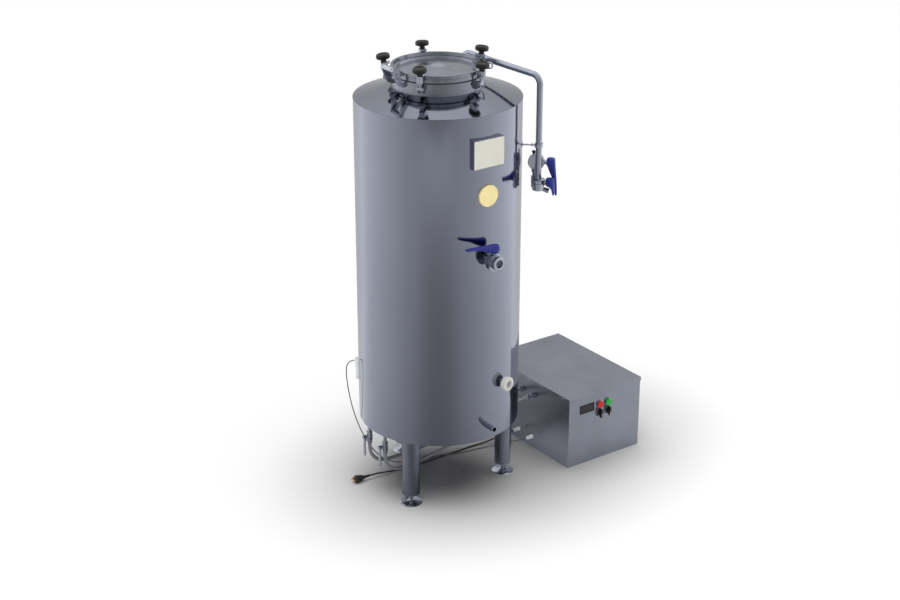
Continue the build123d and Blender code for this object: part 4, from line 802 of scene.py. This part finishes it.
solid = copying.node("GeometryNodeRealizeInstances", None, {0: copies.outputs[0]})
coloured = copying.node("GeometryNodeSetMaterial", None,
                        {"Geometry": solid.outputs[0], "Material": given["Finish"]})
copying.node("NodeGroupOutput", None, {"Copies": coloured.outputs[0]})
print("repeat_on_points has", len(repeat.nodes), "nodes")


def shape_to_copy(name, corners, faces):
    """A small closed shape in millimetres about its own origin."""
    small = [([Vector(corner) * MM for corner in corners], faces)]
    made = bpy.data.objects.new(name, closed_mesh(name, small, SAME_PLACE / 10, radians(40)))
    bpy.context.scene.collection.objects.link(made)
    return made


def repeated(name, spots, shape_object, finish, body, twist=0.0, seed=1):
    """Copies of a shape at (point, direction) spots, given in the drawing's millimetres."""
    mesh = bpy.data.meshes.new(name + "_points")
    mesh.from_pydata([at(*point) for point, _ in spots], [], [])
    ways = mesh.attributes.new("facing", "FLOAT_VECTOR", "POINT")
    for item, (_, way) in zip(ways.data, spots):
        item.vector = way
    source = bpy.data.objects.new(name + "_points", mesh)
    bpy.context.scene.collection.objects.link(source)
    modifier = source.modifiers.new("repeat", "NODES")
    modifier.node_group = repeat
    modifier[inputs["Shape"]] = shape_object
    modifier[inputs["Twist"]] = twist
    modifier[inputs["Seed"]] = seed
    modifier[inputs["Finish"]] = finish
    graph = bpy.context.evaluated_depsgraph_get()
    result_mesh = bpy.data.meshes.new_from_object(source.evaluated_get(graph))
    result_mesh.name = name
    source.modifiers.remove(modifier)
    bpy.data.objects.remove(source)
    made = finished(name, result_mesh, finish, body)
    print(name, len(result_mesh.polygons), "faces")
    return made


# %% [markdown]
# A weld is a row of short drops that overlap along the seam. They run round the foot of the
# manway's neck, round the top of each leg and, finer, round the edge of the cone.

# %% Welds
LEG_ANGLES = (210, 330, 90)
LEG_CIRCLE = 308
NECK_SEAM = (206.8, 1936.2, 300)       # radius, height and number of beads
LEG_SEAM = (41.6, 340.2, 64)
RIM_SEAM = (375.2, 1884.4, 520)


def weld_round(centre_x, centre_y, radius, z, count):
    """Places of the beads round a tube, each facing along the weld."""
    spots = []
    for k in range(count):
        x, y, _ = polar(radius, 360 * k / count, 0)
        spots.append(((centre_x + x, centre_y + y, z), (-y / radius, x / radius, 0)))
    return spots


bead = shape_to_copy("bead_shape", *lathe(
    ((0, -3.4), (1.5, -2.4), (2.1, 0), (1.5, 2.4), (0, 3.4)), 8))
fine_bead = shape_to_copy("fine_bead_shape", *lathe(((0, -3.0), (0.9, 0), (0, 3.0)), 6))
seams = weld_round(0, 0, *NECK_SEAM)
for leg_angle in LEG_ANGLES:
    seams += weld_round(*polar(LEG_CIRCLE, leg_angle, 0)[:2], *LEG_SEAM)
repeated("weld_seams", seams, bead, leg_steel, "tank", 3.0, 4)
repeated("rim_seam", weld_round(0, 0, *RIM_SEAM), fine_bead, cone_steel, "tank", 3.0, 5)

# %% [markdown]
# A thread is drawn as thin discs at the thread's pitch. Nobody sees at this size that the ridge
# doesn't climb, and discs need far fewer faces than a helix.

# %% Threads
BOLT_ANGLES = (0, 72, 144, 216, 288)
BOLT_CIRCLE, BOLT_PIVOT_Z = 229, 1972
BOLT_LEAN = 7                          # degrees outwards at rest
STUD_START, STUD_PITCH = 12.5, 1.5     # first ridge above the pivot, and the next ones
FOOT_START, FOOT_PITCH = 16.5, 2       # first ridge above the floor, and the next ones


def ridge(name, root, crest, half_flank, half_crest, sides):
    """One turn of a thread as a thin disc."""
    return shape_to_copy(name, *lathe(
        ((0, -half_flank), (root, -half_flank), (crest, -half_crest), (crest, half_crest),
         (root, half_flank), (0, half_flank)), sides))


stud_ridge = ridge("stud_ridge_shape", 5.9, 6.55, 0.75, 0.15, 20)
foot_ridge = ridge("foot_ridge_shape", 9.8, 10.7, 1.0, 0.2, 24)
lean = radians(BOLT_LEAN)
for number, bolt_angle in enumerate(BOLT_ANGLES, 1):
    x, y, _ = polar(1, bolt_angle, 0)
    up_stud = (sin(lean) * x, sin(lean) * y, cos(lean))
    pivot = Vector(polar(BOLT_CIRCLE, bolt_angle, BOLT_PIVOT_Z))
    repeated(f"stud_thread_{number}", [
        (tuple(pivot + Vector(up_stud) * (STUD_START + STUD_PITCH * k)), up_stud) for k in range(12)
    ], stud_ridge, fitting_steel, f"clamp_bolt_{number}")
for number, leg_angle in enumerate(LEG_ANGLES, 1):
    repeated(f"foot_thread_{number}", [
        (polar(LEG_CIRCLE, leg_angle, FOOT_START + FOOT_PITCH * k), (0, 0, 1)) for k in range(10)
    ], foot_ridge, fitting_steel, f"foot_{number}")

# %% [markdown]
# Screws hold the unit's lid, back and right side. Each is a round head with a hollow in the
# middle.

# %% Screws of the cooling unit
UNIT_LEFT, UNIT_RIGHT, UNIT_BACK = 534, 982, 319
LID_OVER = 3                           # the unit's lid stands out by this
LID_SCREW_Z = 357
screw_outline = ((5, -0.4), (5, 0.8), (4.2, 2.2), (2.6, 2.7), (1.9, 0.9))
screw = shape_to_copy("screw_shape", *lathe(screw_outline, 12))
spots = []
for y in (-280, -20, 240):
    spots.append(((UNIT_LEFT - LID_OVER, y, LID_SCREW_Z), (-1, 0, 0)))
    spots.append(((UNIT_RIGHT + LID_OVER, y, LID_SCREW_Z), (1, 0, 0)))
for x in (560, 758, 956):
    spots.append(((x, UNIT_BACK + LID_OVER, LID_SCREW_Z), (0, 1, 0)))
for x in (548, 758, 968):
    for z in (20, 330):
        spots.append(((x, UNIT_BACK, z), (0, 1, 0)))
for z in (20, 180, 320):
    for y in (-306, 301):
        spots.append(((UNIT_RIGHT, y, z), (1, 0, 0)))
repeated("unit_screws", spots, screw, fitting_steel, "tank", 3.0, 7)
for template in (bead, fine_bead, stud_ridge, foot_ridge, screw):
    bpy.data.objects.remove(template)

# %% [markdown]
# Each curve is attached to the tank's body, and the solid line it replaces is hidden.

for curve, node, slot in (
    (hose_1, "hose_1", "hose"), (hose_2, "hose_2", "hose"),
    (sensor_cable, "sensor_cord", "cable_grey"), (mains_cable, "mains_cord", "rubber"),
):
    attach(curve, "tank")
    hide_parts(node)
at(*hose_1_route[0])
at(*hose_2_route[0])
at(*sensor_route[0])
at(*mains_route[0])
